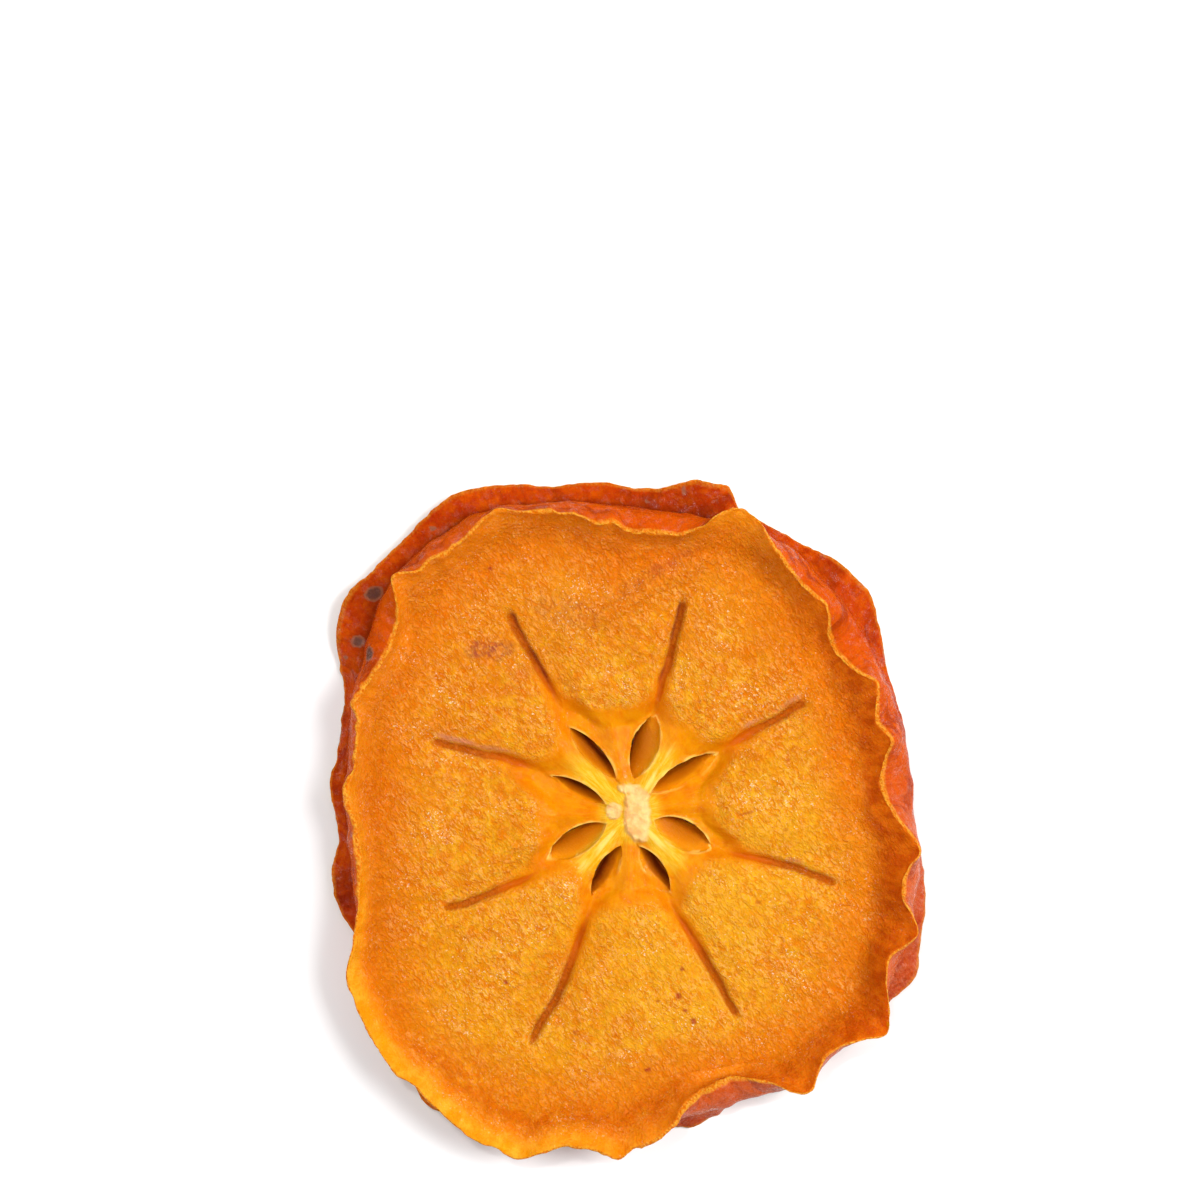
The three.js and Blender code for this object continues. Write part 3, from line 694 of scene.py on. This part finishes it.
def slice_mesh():
    """The whole slice as one closed mesh, before the chambers are cut."""
    rings = surface_rings()
    roughen(rings)
    points = [np.array([[0, 0, upper_face(np.zeros(1), np.zeros(1))[0]]])]
    masks = {name: [np.zeros(1)] for name in MASKS}
    numbers, faces = [], []
    start = 1
    for ring in rings:
        keep = slice(None, None, ring["step"])
        points.append(np.stack([ring["x"], ring["y"], ring["z"]], 1)[keep])
        for name in MASKS:
            masks[name].append(ring["masks"][name][keep])
        count = len(points[-1])
        numbers.append(np.arange(start, start + count))
        start += count
    points.append(np.array([[0, 0, lower_face(np.zeros(1), np.zeros(1))[0]]]))
    for name in MASKS:
        masks[name].append(np.zeros(1))

    first, last = numbers[0], numbers[-1]
    faces += np.stack([0 * first, first, np.roll(first, -1)], 1).tolist()
    for here, following in zip(numbers, numbers[1:]):
        faces += stitch(here, following)
    faces += np.stack([last, 0 * last + start, np.roll(last, -1)], 1).tolist()

    mesh = bpy.data.meshes.new("persimmon_slice_skin")
    mesh.from_pydata(np.concatenate(points).tolist(), [], faces)
    for name in MASKS:
        set_layer(mesh, name, np.concatenate(masks[name]))
    return mesh


def chamber_mesh():
    """The empty space of all eight chambers."""
    points, faces = [], []
    turn = np.arange(CHAMBER_SIDES) * 2 * np.pi / CHAMBER_SIDES
    for chamber in CHAMBERS:
        centre, half_length, half_width, along, across = chamber_axes(chamber)
        u = np.cos(turn)
        v = np.sign(np.sin(turn)) * chamber_side(u)
        rings = []
        for depth, fall in CHAMBER_FALL:
            height = FLESH_TOP - depth
            narrow = 1 - fall * (1 - CHAMBER_FLOOR)
            shift = fall * chamber.lean * half_width * (1 + CHAMBER_FLOOR)
            forward = u * half_length * (1 - 0.22 * fall)
            sideways = v * half_width * narrow + shift
            x = centre[0] + forward * along[0] + sideways * across[0]
            y = centre[1] + forward * along[1] + sideways * across[1]
            frayed = 0.05 * rough(x, y, 0.7, 130, z=height)
            rings.append(np.arange(len(turn)) + len(points))
            points += np.stack([x + frayed, y - frayed, height + 0 * x], 1).tolist()
        faces.append(rings[0].tolist())
        for here, following in zip(rings, rings[1:]):
            faces += stitch(here, following)
        faces.append(rings[-1][::-1].tolist())
    mesh = bpy.data.meshes.new("chambers")
    mesh.from_pydata(points, [], faces)
    return mesh


def cut(mesh, tool):
    """The mesh with the tool's space taken out of it."""
    body = bpy.data.objects.new("persimmon_slice_flesh", mesh)
    cutter = bpy.data.objects.new("cutter", tool)
    for item in (body, cutter):
        bpy.context.scene.collection.objects.link(item)
    modifier = body.modifiers.new("chambers", "BOOLEAN")
    modifier.object = cutter
    modifier.operation = "DIFFERENCE"
    modifier.solver = "MANIFOLD"
    bpy.context.view_layer.update()
    evaluated = body.evaluated_get(bpy.context.evaluated_depsgraph_get())
    result = bpy.data.meshes.new_from_object(evaluated)
    body.modifiers.clear()
    body.data = result
    bpy.data.objects.remove(cutter)
    return body


def points_of(mesh):
    """The places of a mesh's points, as rows of x, y and z."""
    points = np.empty(len(mesh.vertices) * 3, np.float32)
    mesh.vertices.foreach_get("co", points)
    return points.reshape(-1, 3)


def set_layer(mesh, name, values, kind="FLOAT"):
    layer = mesh.attributes.get(name) or mesh.attributes.new(name, kind, "POINT")
    field = "value" if kind == "FLOAT" else "vector"
    layer.data.foreach_set(field, np.ascontiguousarray(values, dtype=np.float32).ravel())


def chamber_masks(x, y):
    """Distance outside the nearest chamber, its painted shade inside, and the kept lips' pale line.
    """
    inside, gloom, lips = np.full_like(x, 9), 0 * x, 0 * x
    patchy = np.clip(0.75 + 0.7 * rough(x, y, 1.7, 168, 2), 0, 1)
    breadth = np.maximum(0.26 + 0.14 * rough(x, y, 1.2, 170, 2), 0.08)
    for chamber in CHAMBERS:
        distance, facing = chamber_distance(chamber, x, y)
        gloom = np.where(distance < inside, chamber.gloom, gloom)
        inside = np.minimum(inside, distance)
        kept = 1 - np.maximum(0, -facing) * (1 - 0.7 * chamber.near_lip)
        lip = bell(np.maximum(distance, 0) / breadth) * kept
        lips = np.maximum(lips, lip * patchy * (distance > -0.15))
    return inside, gloom, lips


def ray_masks(x, y):
    """The pale webs of the rays and the whitish lines on their crests."""
    radius, degrees = polar(x, y)
    pale, crests = 0 * x, 0 * x
    reach = 1 - smoothstep(4.5, 10.5, radius)
    for crest in RAYS:
        apart = angle_between(crest, degrees)
        across = radius * np.sin(np.radians(np.minimum(apart, 90)))
        tent = 1 - smoothstep(0.15, 0.75 + radius * 0.24, across)
        line = bell((across + 0.25 * fibres(x, y, 1.5, 3, 175)) / 0.28)
        pale = np.maximum(pale, np.where(apart < 80, tent * reach, 0))
        crests = np.maximum(crests, np.where(apart < 80, line * reach, 0))
    pale = np.maximum(pale, 0.75 * (1 - smoothstep(2.2, 4.2, radius)))
    crests = crests * np.clip(0.5 + 0.8 * rough(x, y, 2, 177, 2), 0, 1)
    return pale, crests * smoothstep(1.8, 2.8, radius)


def mark_mask(shapes, x, y):
    """All marks of one kind on a flat face."""
    mask = 0 * x
    for *shape, strength in shapes:
        mask = np.maximum(mask, strength * spot(x, y, *shape))
    return mask


def scar_mask(x, y, z, rim):
    """The scars on the peel, each kept near the height of the peel's top at its place."""
    mask = 0 * x
    for place, half_length, half_width, turn, strength in SCARS:
        near = (np.hypot(x - place[0], y - place[1]) < 0.4) & (rim > 0.5)
        height = z[near].max() if near.any() else WAIST_HEIGHT
        level = 1 - smoothstep(0.5, 1.1, np.abs(z - height) / half_length)
        shape = spot(x, y, place, half_length, half_width, turn)
        mask = np.maximum(mask, strength * shape * level)
    return mask * rim


def paint(mesh):
    """Stores what each point of the slice shows, for the material to read."""
    x, y, z = points_of(mesh).T.astype(float)
    radius, degrees = polar(x, y)
    rim = np.empty(len(x), np.float32)
    mesh.attributes["peel"].data.foreach_get("value", rim)
    top = smoothstep(1.9, 2.5, z)
    face = top + 1 - smoothstep(1.35, 1.7, z)

    frayed = 0.4 * rough(x, y, 1.9, 165, 3)
    hollow = hollow_at(radius - 0.25 + frayed, degrees)
    shore = shore_radius(degrees) + frayed
    _, groove, valley = groove_depth(x, y)
    smooth_skin = np.maximum(1 - smoothstep(shore - 1.3, shore + 1.3, radius), 0.85 * valley)
    # A deeper orange band along the hollow's shore, partly painted shade in the dip
    moat = bell((radius - shore + 0.5) / 1.1)
    moat = moat * (0.35 + 0.65 * bell(angle_to_groove(degrees) / GROOVE_MOUTH))

    inside, gloom, lips = chamber_masks(x, y)
    # How deep a point lies in a chamber, for the painted shade there
    below = np.clip((FLESH_TOP - 0.8 - z) / 1.5, 0, 1) * (inside < 0.25) * (radius < 13)
    lip_depth = np.clip((upper_face(x, y) - z) / 0.3, 0, 1)
    below = below * lip_depth * gloom * smoothstep(0.05, 0.45, z - lower_face(x, y))

    pale, crests = ray_masks(x, y)
    edge_of_face = smoothstep(9, 0, crease_radius(degrees) - radius)
    folded = 1 - 0.85 * smoothstep(60, 95, angle_between(FOLD_MIDDLE, degrees))
    # Painted shade along the fold at the peel's waist, mostly where the two lips press together
    waist = bell((z - WAIST_HEIGHT - 0.1) / 0.45)
    tone = sum(
        strength * np.exp(-(((x - place[0]) ** 2 + (y - place[1]) ** 2) / reach**2))
        for place, reach, strength in TONES
    )
    layers = {
        "outer": edge_of_face * top * (1 - rim),
        "star": np.maximum(smooth_skin * face, below > 0.1),
        "moat": np.maximum(moat, 0.45 * valley) * face,
        "pale": pale * hollow * face,
        "crest": crests * hollow * top,
        "lip": lips * top,
        "pith": pith_masks(x, y) * face,
        "depth": below,
        "groove": groove * face,
        "tone": np.clip(0.5 + 0.65 * tone, 0, 1),
        "scar": scar_mask(x, y, z, rim),
        "speck": mark_mask(SPECKS, x, y) * (1 - rim) * top,
        "stain": mark_mask(STAINS, x, y) * (1 - rim) * top,
        "upper_skin": smoothstep(3, 4.6, z) * rim,
        "waist": waist * folded * rim,
        "bloom_and_sheen": bloom_and_sheen_strength(degrees),
        "golden": golden_strength(degrees),
        "foot_shade": foot_shade(degrees),
    }
    layers.update({f"{kind}_edge": mask * top for kind, mask in groove_edges(x, y).items()})
    for name, values in layers.items():
        set_layer(mesh, name, values)
    way = np.stack([x, y], 1) / (radius[:, None] + 0.3)
    set_layer(mesh, "grain", np.column_stack([way * 24, radius / 1.6]), "FLOAT_VECTOR")
    set_layer(mesh, "band", np.column_stack([way * 9, 1.2 * z + 0.5 * radius]), "FLOAT_VECTOR")


def srgb(red, green, blue):
    """A colour as it is read off a screen, from 0 to 255, in the shader's own scale."""
    values = [channel / 255 for channel in (red, green, blue)]
    linear = [v / 12.92 if v <= 0.04045 else ((v + 0.055) / 1.055) ** 2.4 for v in values]
    return (*linear, 1)


class Recipe:
    """A material and short ways to add nodes to it."""

    def __init__(self, name):
        self.material = bpy.data.materials.new(name)
        self.material.use_nodes = True
        self.tree = self.material.node_tree
        self.shader = self.tree.nodes["Principled BSDF"]

    def feed(self, socket, value):
        if isinstance(value, bpy.types.NodeSocket):
            self.tree.links.new(value, socket)
        else:
            socket.default_value = value

    def give(self, name, value):
        self.feed(self.shader.inputs[name], value)

    def add(self, kind, settings, inputs, output=0):
        """One output of a new node."""
        node = self.tree.nodes.new("ShaderNode" + kind)
        for name, value in settings.items():
            setattr(node, name, value)
        for name, value in inputs.items():
            self.feed(node.inputs[name], value)
        return node.outputs[output]

    def mask(self, name, output="Fac"):
        return self.add("Attribute", {"attribute_name": name}, {}, output)

    def place(self):
        """The point's place in millimetres."""
        coordinates = self.add("TexCoord", {}, {}, "Object")
        return self.add("VectorMath", {"operation": "SCALE"}, {0: coordinates, "Scale": 1 / MM})

    def noise(self, place, scale, detail=3, roughness=0.55, distortion=0):
        size = {"Scale": scale, "Detail": detail, "Roughness": roughness}
        return self.add("TexNoise", {}, {"Vector": place, "Distortion": distortion, **size}, "Fac")

    def stretched(self, place, degrees, stretch):
        """The place, measured so that what is drawn there is stretched in one direction."""
        turn = (0, 0, math.radians(degrees))
        inputs = {"Vector": place, "Rotation": turn, "Scale": (stretch, 1, 1)}
        return self.add("Mapping", {"vector_type": "TEXTURE"}, inputs, "Vector")

    def ramp(self, value, low, high, start=0, end=1):
        """The value's run from low to high, spread from start to end."""
        inputs = {"Value": value, "From Min": low, "From Max": high, "To Min": start, "To Max": end}
        return self.add("MapRange", {"interpolation_type": "SMOOTHSTEP"}, inputs, "Result")

    def math(self, operation, a, b):
        return self.add("Math", {"operation": operation}, {0: a, 1: b})

    def times(self, a, b):
        return self.math("MULTIPLY", a, b)

    def blend(self, share, a, b):
        """Colour a, with b over it as far as share says."""
        return self.add("Mix", {"data_type": "RGBA"}, {0: share, 6: a, 7: b}, 2)

    def either(self, value, low, high, first, second):
        """The first colour where the value is low, running into the second where it is high."""
        return self.blend(self.ramp(value, low, high), srgb(*first), srgb(*second))

    def coats(self, colour, rows):
        """The colour under thin coats: value, where a coat begins and is full, strength, colour."""
        for value, low, high, strength, coat in rows:
            colour = self.blend(self.ramp(value, low, high, 0, strength), colour, srgb(*coat))
        return colour


def patterns(make):
    """The random patterns that the colours, the shine and the relief share."""
    place = make.place()
    oblique = make.stretched(place, WRINKLE_DIRECTION, 2.2)
    # Clustered spots, painted bright as glints in the colour and made shiny in the shine
    clusters = make.ramp(make.noise(place, 0.28, 2), 0.35, 0.7, -0.07, 0.06)
    crystal_glint_noise = make.math("ADD", make.noise(place, 4.6, 2, 0.5, 0.6), clusters)
    return SimpleNamespace(
        place=place,
        patches=make.noise(place, 0.13, 3),
        mottle=make.noise(place, 0.9, 4),
        streaks=make.noise(make.mask("grain", "Vector"), 1, 4, 0.6),
        folds=make.noise(make.mask("band", "Vector"), 1, 4, 0.6),
        valleys=make.noise(oblique, 2.7, 3, 0.6, 1.1),
        fine=make.noise(make.stretched(place, WRINKLE_DIRECTION, 1.4), 5, 2, 0.5, 0.6),
        calm=make.ramp(make.noise(place, 0.32, 3), 0.35, 0.65, 0.35, 1),
        crystal_glints=make.ramp(crystal_glint_noise, 0.66, 0.74),
    )


def field_colour(make, look):
    """The wrinkled flesh between the core and the rim."""
    brown = make.either(look.patches, 0.35, 0.68, (222, 124, 4), (228, 138, 14))
    yellow = make.either(look.patches, 0.35, 0.68, (232, 154, 12), (238, 168, 26))
    tone = make.math("ADD", make.mask("tone"), make.ramp(look.mottle, 0.3, 0.7, -0.35, 0.35))
    flesh = make.blend(make.ramp(tone, 0.1, 0.9), brown, yellow)
    flesh = make.coats(flesh, [(look.streaks, 0.48, 0.75, 0.3, (246, 168, 44))])
    # Darker orange in the valleys of the fine wrinkles, partly the flesh's colour and partly painted
    # shade
    valley_shade = make.times(make.ramp(look.valleys, 0.36, 0.54, 0.6, 0), look.calm)
    flesh = make.blend(valley_shade, flesh, srgb(218, 102, 0))
    # Pinkish-cream granules on the tops of the fine bumps, partly the flesh's colour and partly
    # painted highlight
    granules_and_highlights = make.times(make.ramp(look.fine, 0.44, 0.58), make.ramp(look.valleys, 0.38, 0.56))
    granules_and_highlights = make.times(granules_and_highlights, make.times(look.calm, 0.5))
    flesh = make.blend(granules_and_highlights, flesh, srgb(246, 180, 108))
    # Near-white sugar crystals, painted bright as glints
    flesh = make.blend(make.times(look.crystal_glints, 0.8), flesh, srgb(254, 226, 184))
    # Deeper orange towards the crease at the rim, partly the flesh's colour and partly painted shade
    outer = make.times(make.mask("outer"), look.mottle)
    return make.coats(flesh, [(outer, 0.12, 0.6, 0.6, (220, 104, 0))])


def core_colour(make, look, flesh):
    """The hollow with its bays, the grooves, the walls between the chambers and the pith."""
    wet = make.either(look.mottle, 0.35, 0.7, (216, 134, 0), (208, 112, 0))
    wet = make.coats(wet, [(look.streaks, 0.5, 0.75, 0.5, (226, 156, 8))])
    flesh = make.blend(make.ramp(make.mask("star"), 0.15, 0.95, 0, 0.92), flesh, wet)
    flesh = make.coats(flesh, [
        # Deeper orange along the hollow's shore and in the grooves' soft valleys, partly painted
        # shade in these dips
        (make.mask("moat"), 0.1, 1, 0.55, (204, 104, 0)),
        (make.mask("groove"), 0.3, 0.9, 0.85, (188, 82, 4)),
        # Painted shade on one edge of each groove and a pale painted highlight on the other
        (make.mask("dark_edge"), 0.1, 0.9, 0.85, (138, 56, 26)),
        (make.mask("pale_edge"), 0.1, 0.9, 0.8, (246, 176, 62)),
        (make.mask("grey_edge"), 0.1, 0.9, 0.8, (214, 136, 96)),
    ])
    membrane = make.either(look.streaks, 0.4, 0.65, (218, 160, 14), (226, 182, 56))
    flesh = make.blend(make.ramp(make.mask("pale"), 0.1, 0.85), flesh, membrane)
    flesh = make.coats(flesh, [
        (make.mask("crest"), 0.15, 0.9, 0.75, (238, 206, 112)),
        (make.mask("lip"), 0.2, 0.9, 0.8, (236, 190, 92)),
    ])
    dry = make.either(look.mottle, 0.4, 0.65, (234, 196, 128), (224, 168, 100))
    return make.blend(make.mask("pith"), flesh, dry)


def wall_colour(make, look, flesh):
    """The lip's inner wall: patchy painted shade at its foot, a golden edge, and a brown stretch,
    partly from drying and partly painted shade.
    """
    flare = make.mask("flare")
    # Patchy painted shade in the crease at the wall's foot
    crease = make.times(make.ramp(flare, 0, 0.4), make.ramp(flare, 0.4, 0.65, 1, 0))
    crease = make.times(crease, make.ramp(look.mottle, 0.35, 0.6, 0.1, 0.9))
    crease = make.times(crease, make.mask("foot_shade"))
    flesh = make.blend(crease, flesh, srgb(212, 96, 0))
    golden = make.times(make.ramp(flare, 0.58, 0.88, 0, 0.9), make.mask("golden"))
    ripples = make.either(look.streaks, 0.4, 0.65, (234, 146, 6), (244, 170, 40))
    flesh = make.blend(golden, flesh, ripples)
    # Brown stretch of the inner wall, partly from drying and partly painted shade
    dried_and_shaded = make.either(look.streaks, 0.38, 0.62, (186, 70, 0), (212, 100, 4))
    return make.blend(make.ramp(make.mask("wall"), 0, 1, 0, 0.9), flesh, dried_and_shaded)


def marked_colour(make, look, flesh):
    """Painted shade deep in the chambers, the smudges and the specks."""
    depth = make.mask("depth")
    # Painted shade, deeper orange to brown the further down a chamber
    flesh = make.coats(flesh, [
        (depth, 0.02, 0.3, 1, (206, 120, 6)),
        (depth, 0.14, 0.45, 0.85, (166, 84, 4)),
        (depth, 0.38, 0.85, 1, (112, 42, 8)),
    ])
    stain = make.times(make.mask("stain"), make.ramp(look.mottle, 0.3, 0.6))
    stain = make.times(stain, make.ramp(look.valleys, 0.35, 0.65, 1, 0.35))
    flesh = make.blend(stain, flesh, srgb(156, 66, 60))
    return make.coats(flesh, [(make.mask("speck"), 0.1, 0.8, 0.85, (178, 62, 34))])


def skin_colour(make, look):
    """The peel, with painted shade in its wrinkles and waist fold, a pinkish powdery coat that is
    partly a painted sheen, and its ringed scars.
    """
    skin = make.either(look.patches, 0.35, 0.65, (188, 62, 0), (166, 42, 0))
    skin = make.coats(skin, [(look.mottle, 0.4, 0.7, 0.7, (204, 84, 0))])
    skin = make.blend(make.times(make.mask("upper_skin"), 0.7), skin, srgb(208, 84, 0))
    # Painted shade in the valleys of the peel's wrinkles
    skin = make.blend(make.ramp(look.folds, 0.35, 0.5, 0.6, 0), skin, srgb(132, 28, 0))
    # Painted shade along the fold between the two lips
    skin = make.blend(make.times(make.mask("waist"), 0.7), skin, srgb(104, 18, 0))
    # Pinkish powdery coat of the peel, partly a painted sheen
    powder_and_sheen = make.ramp(make.noise(look.place, 2.2, 5, 0.65), 0.35, 0.7, 0.15, 0.7)
    skin = make.blend(make.times(powder_and_sheen, make.mask("bloom_and_sheen")), skin, srgb(206, 108, 66))
    scar = make.mask("scar")
    return make.coats(skin, [
        (scar, 0.1, 0.4, 0.8, (150, 92, 68)),
        (scar, 0.45, 0.85, 0.8, (86, 54, 46)),
    ])


def add_shine(make, look):
    """How smooth and how wet the surface is, and how light seeps through it."""
    star, peel, pith = make.mask("star"), make.mask("peel"), make.mask("pith")
    gloss = make.ramp(make.noise(look.place, 4, 3), 0.35, 0.65, 0.2, 0.4)
    gloss = make.math("SUBTRACT", gloss, make.ramp(star, 0.3, 0.9, 0, 0.08))
    gloss = make.math("SUBTRACT", gloss, make.ramp(peel, 0, 1, 0, 0.08))
    gloss = make.math("ADD", gloss, make.ramp(pith, 0, 1, 0, 0.35))
    shine = make.ramp(make.noise(look.place, 1.1, 4, 0.7), 0.5, 0.66, 0.01, 0.34)
    shine = make.math("ADD", shine, make.times(make.mask("bloom_and_sheen"), 0.06))
    wetness = make.ramp(look.crystal_glints, 0, 1, 0.045, 0.6)
    wetness = make.times(wetness, make.ramp(peel, 0, 1, 1, 0))
    wetness = make.math("ADD", make.times(shine, peel), wetness)
    make.give("Roughness", gloss)
    make.give("Specular IOR Level", wetness)
    make.give("Subsurface Weight", 0.4)
    make.give("Subsurface Radius", (1, 0.35, 0.08))
    make.give("Subsurface Scale", 0.9 * MM)


def add_fine_relief(make, look):
    """Wrinkles too fine for the mesh, weaker on the hollow's smooth skin and near the lip."""
    star, peel, flare = make.mask("star"), make.mask("peel"), make.mask("flare")
    grains = make.ramp(look.fine, 0.35, 0.65, 0, 0.6)
    height = make.math("ADD", make.ramp(look.valleys, 0.34, 0.6), grains)
    height = make.math("ADD", make.times(height, 0.6), make.noise(look.place, 2.6, 4, 0.6))
    wrinkled = make.times(peel, make.times(look.folds, 3))
    height = make.math("ADD", make.times(height, make.ramp(peel, 0, 1, 1, 0.4)), wrinkled)
    smooth_lip = make.ramp(flare, 0.4, 0.8, 0, 0.45)
    smooth = make.math("MAXIMUM", make.ramp(star, 0.2, 1, 0, 0.85), smooth_lip)
    strength = make.math("SUBTRACT", 1, smooth)
    bumps = {"Distance": 0.22 * MM, "Strength": strength, "Height": height}
    make.give("Normal", make.add("Bump", {}, bumps, "Normal"))


def slice_material():
    """Dried flesh, membranes, pith and peel, told apart by the slice's masks."""
    make = Recipe("dried_persimmon")
    look = patterns(make)
    flesh = core_colour(make, look, field_colour(make, look))
    flesh = marked_colour(make, look, wall_colour(make, look, flesh))
    rind = make.either(look.fine, 0.38, 0.6, (220, 114, 6), (242, 166, 52))
    colour = make.blend(make.mask("peel"), flesh, skin_colour(make, look))
    colour = make.blend(make.mask("cut_edge"), colour, rind)
    make.give("Base Color", colour)
    add_shine(make, look)
    add_fine_relief(make, look)
    return make.material


def floor_material():
    make = Recipe("pale_floor")
    cloud = make.noise(make.place(), 0.01, 2)
    make.give("Base Color", make.blend(cloud, srgb(250, 250, 250), srgb(246, 246, 246)))
    make.give("Roughness", make.ramp(cloud, 0.3, 0.7, 0.75, 0.85))
    return make.material


def build_slice():
    piece = cut(slice_mesh(), chamber_mesh())
    piece.name = "dried_persimmon_slice"
    mesh = piece.data
    paint(mesh)
    points = points_of(mesh) * MM + np.array(PITH)
    mesh.vertices.foreach_set("co", points.astype(np.float32).ravel())
    mesh.materials.clear()
    mesh.materials.append(slice_material())
    mesh.polygons.foreach_set("use_smooth", np.ones(len(mesh.polygons), bool))
    mesh.update()
    return piece


def add_floor():
    bpy.ops.mesh.primitive_plane_add(size=3, location=(0, 0, 0))
    floor = bpy.context.object
    floor.name = "floor"
    floor.data.materials.append(floor_material())
    return floor


def add_light(name, place, size, power):
    """A square light that shines on the slice."""
    data = bpy.data.lights.new(name, "AREA")
    data.shape = "SQUARE"
    data.size = size
    data.energy = power
    lamp = bpy.data.objects.new(name, data)
    lamp.location = place
    lamp.rotation_euler = (-Vector(place)).to_track_quat("-Z", "Y").to_euler()
    bpy.context.scene.collection.objects.link(lamp)


def add_camera():
    """Straight above, looking down with the slice below the middle of the picture."""
    data = bpy.data.cameras.new("camera")
    data.lens, data.sensor_width = LENS, SENSOR
    camera = bpy.data.objects.new("camera", data)
    distance = VIEW_WIDTH * LENS / SENSOR
    camera.location = PITH + Vector((*VIEW_MIDDLE, FLESH_TOP + distance)) * MM
    bpy.context.scene.collection.objects.link(camera)
    bpy.context.scene.camera = camera


piece = build_slice()
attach(piece, "root")
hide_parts("persimmon_slice")
add_floor()

for light_name, light in LIGHTS.items():
    add_light(light_name, *light)
add_camera()

world = bpy.data.worlds.new("studio")
world.use_nodes = True
background = world.node_tree.nodes["Background"]
background.inputs["Color"].default_value = (1, 1, 1, 1)
background.inputs["Strength"].default_value = SURROUNDINGS
bpy.context.scene.world = world
bpy.context.scene.view_settings.view_transform = "Standard"
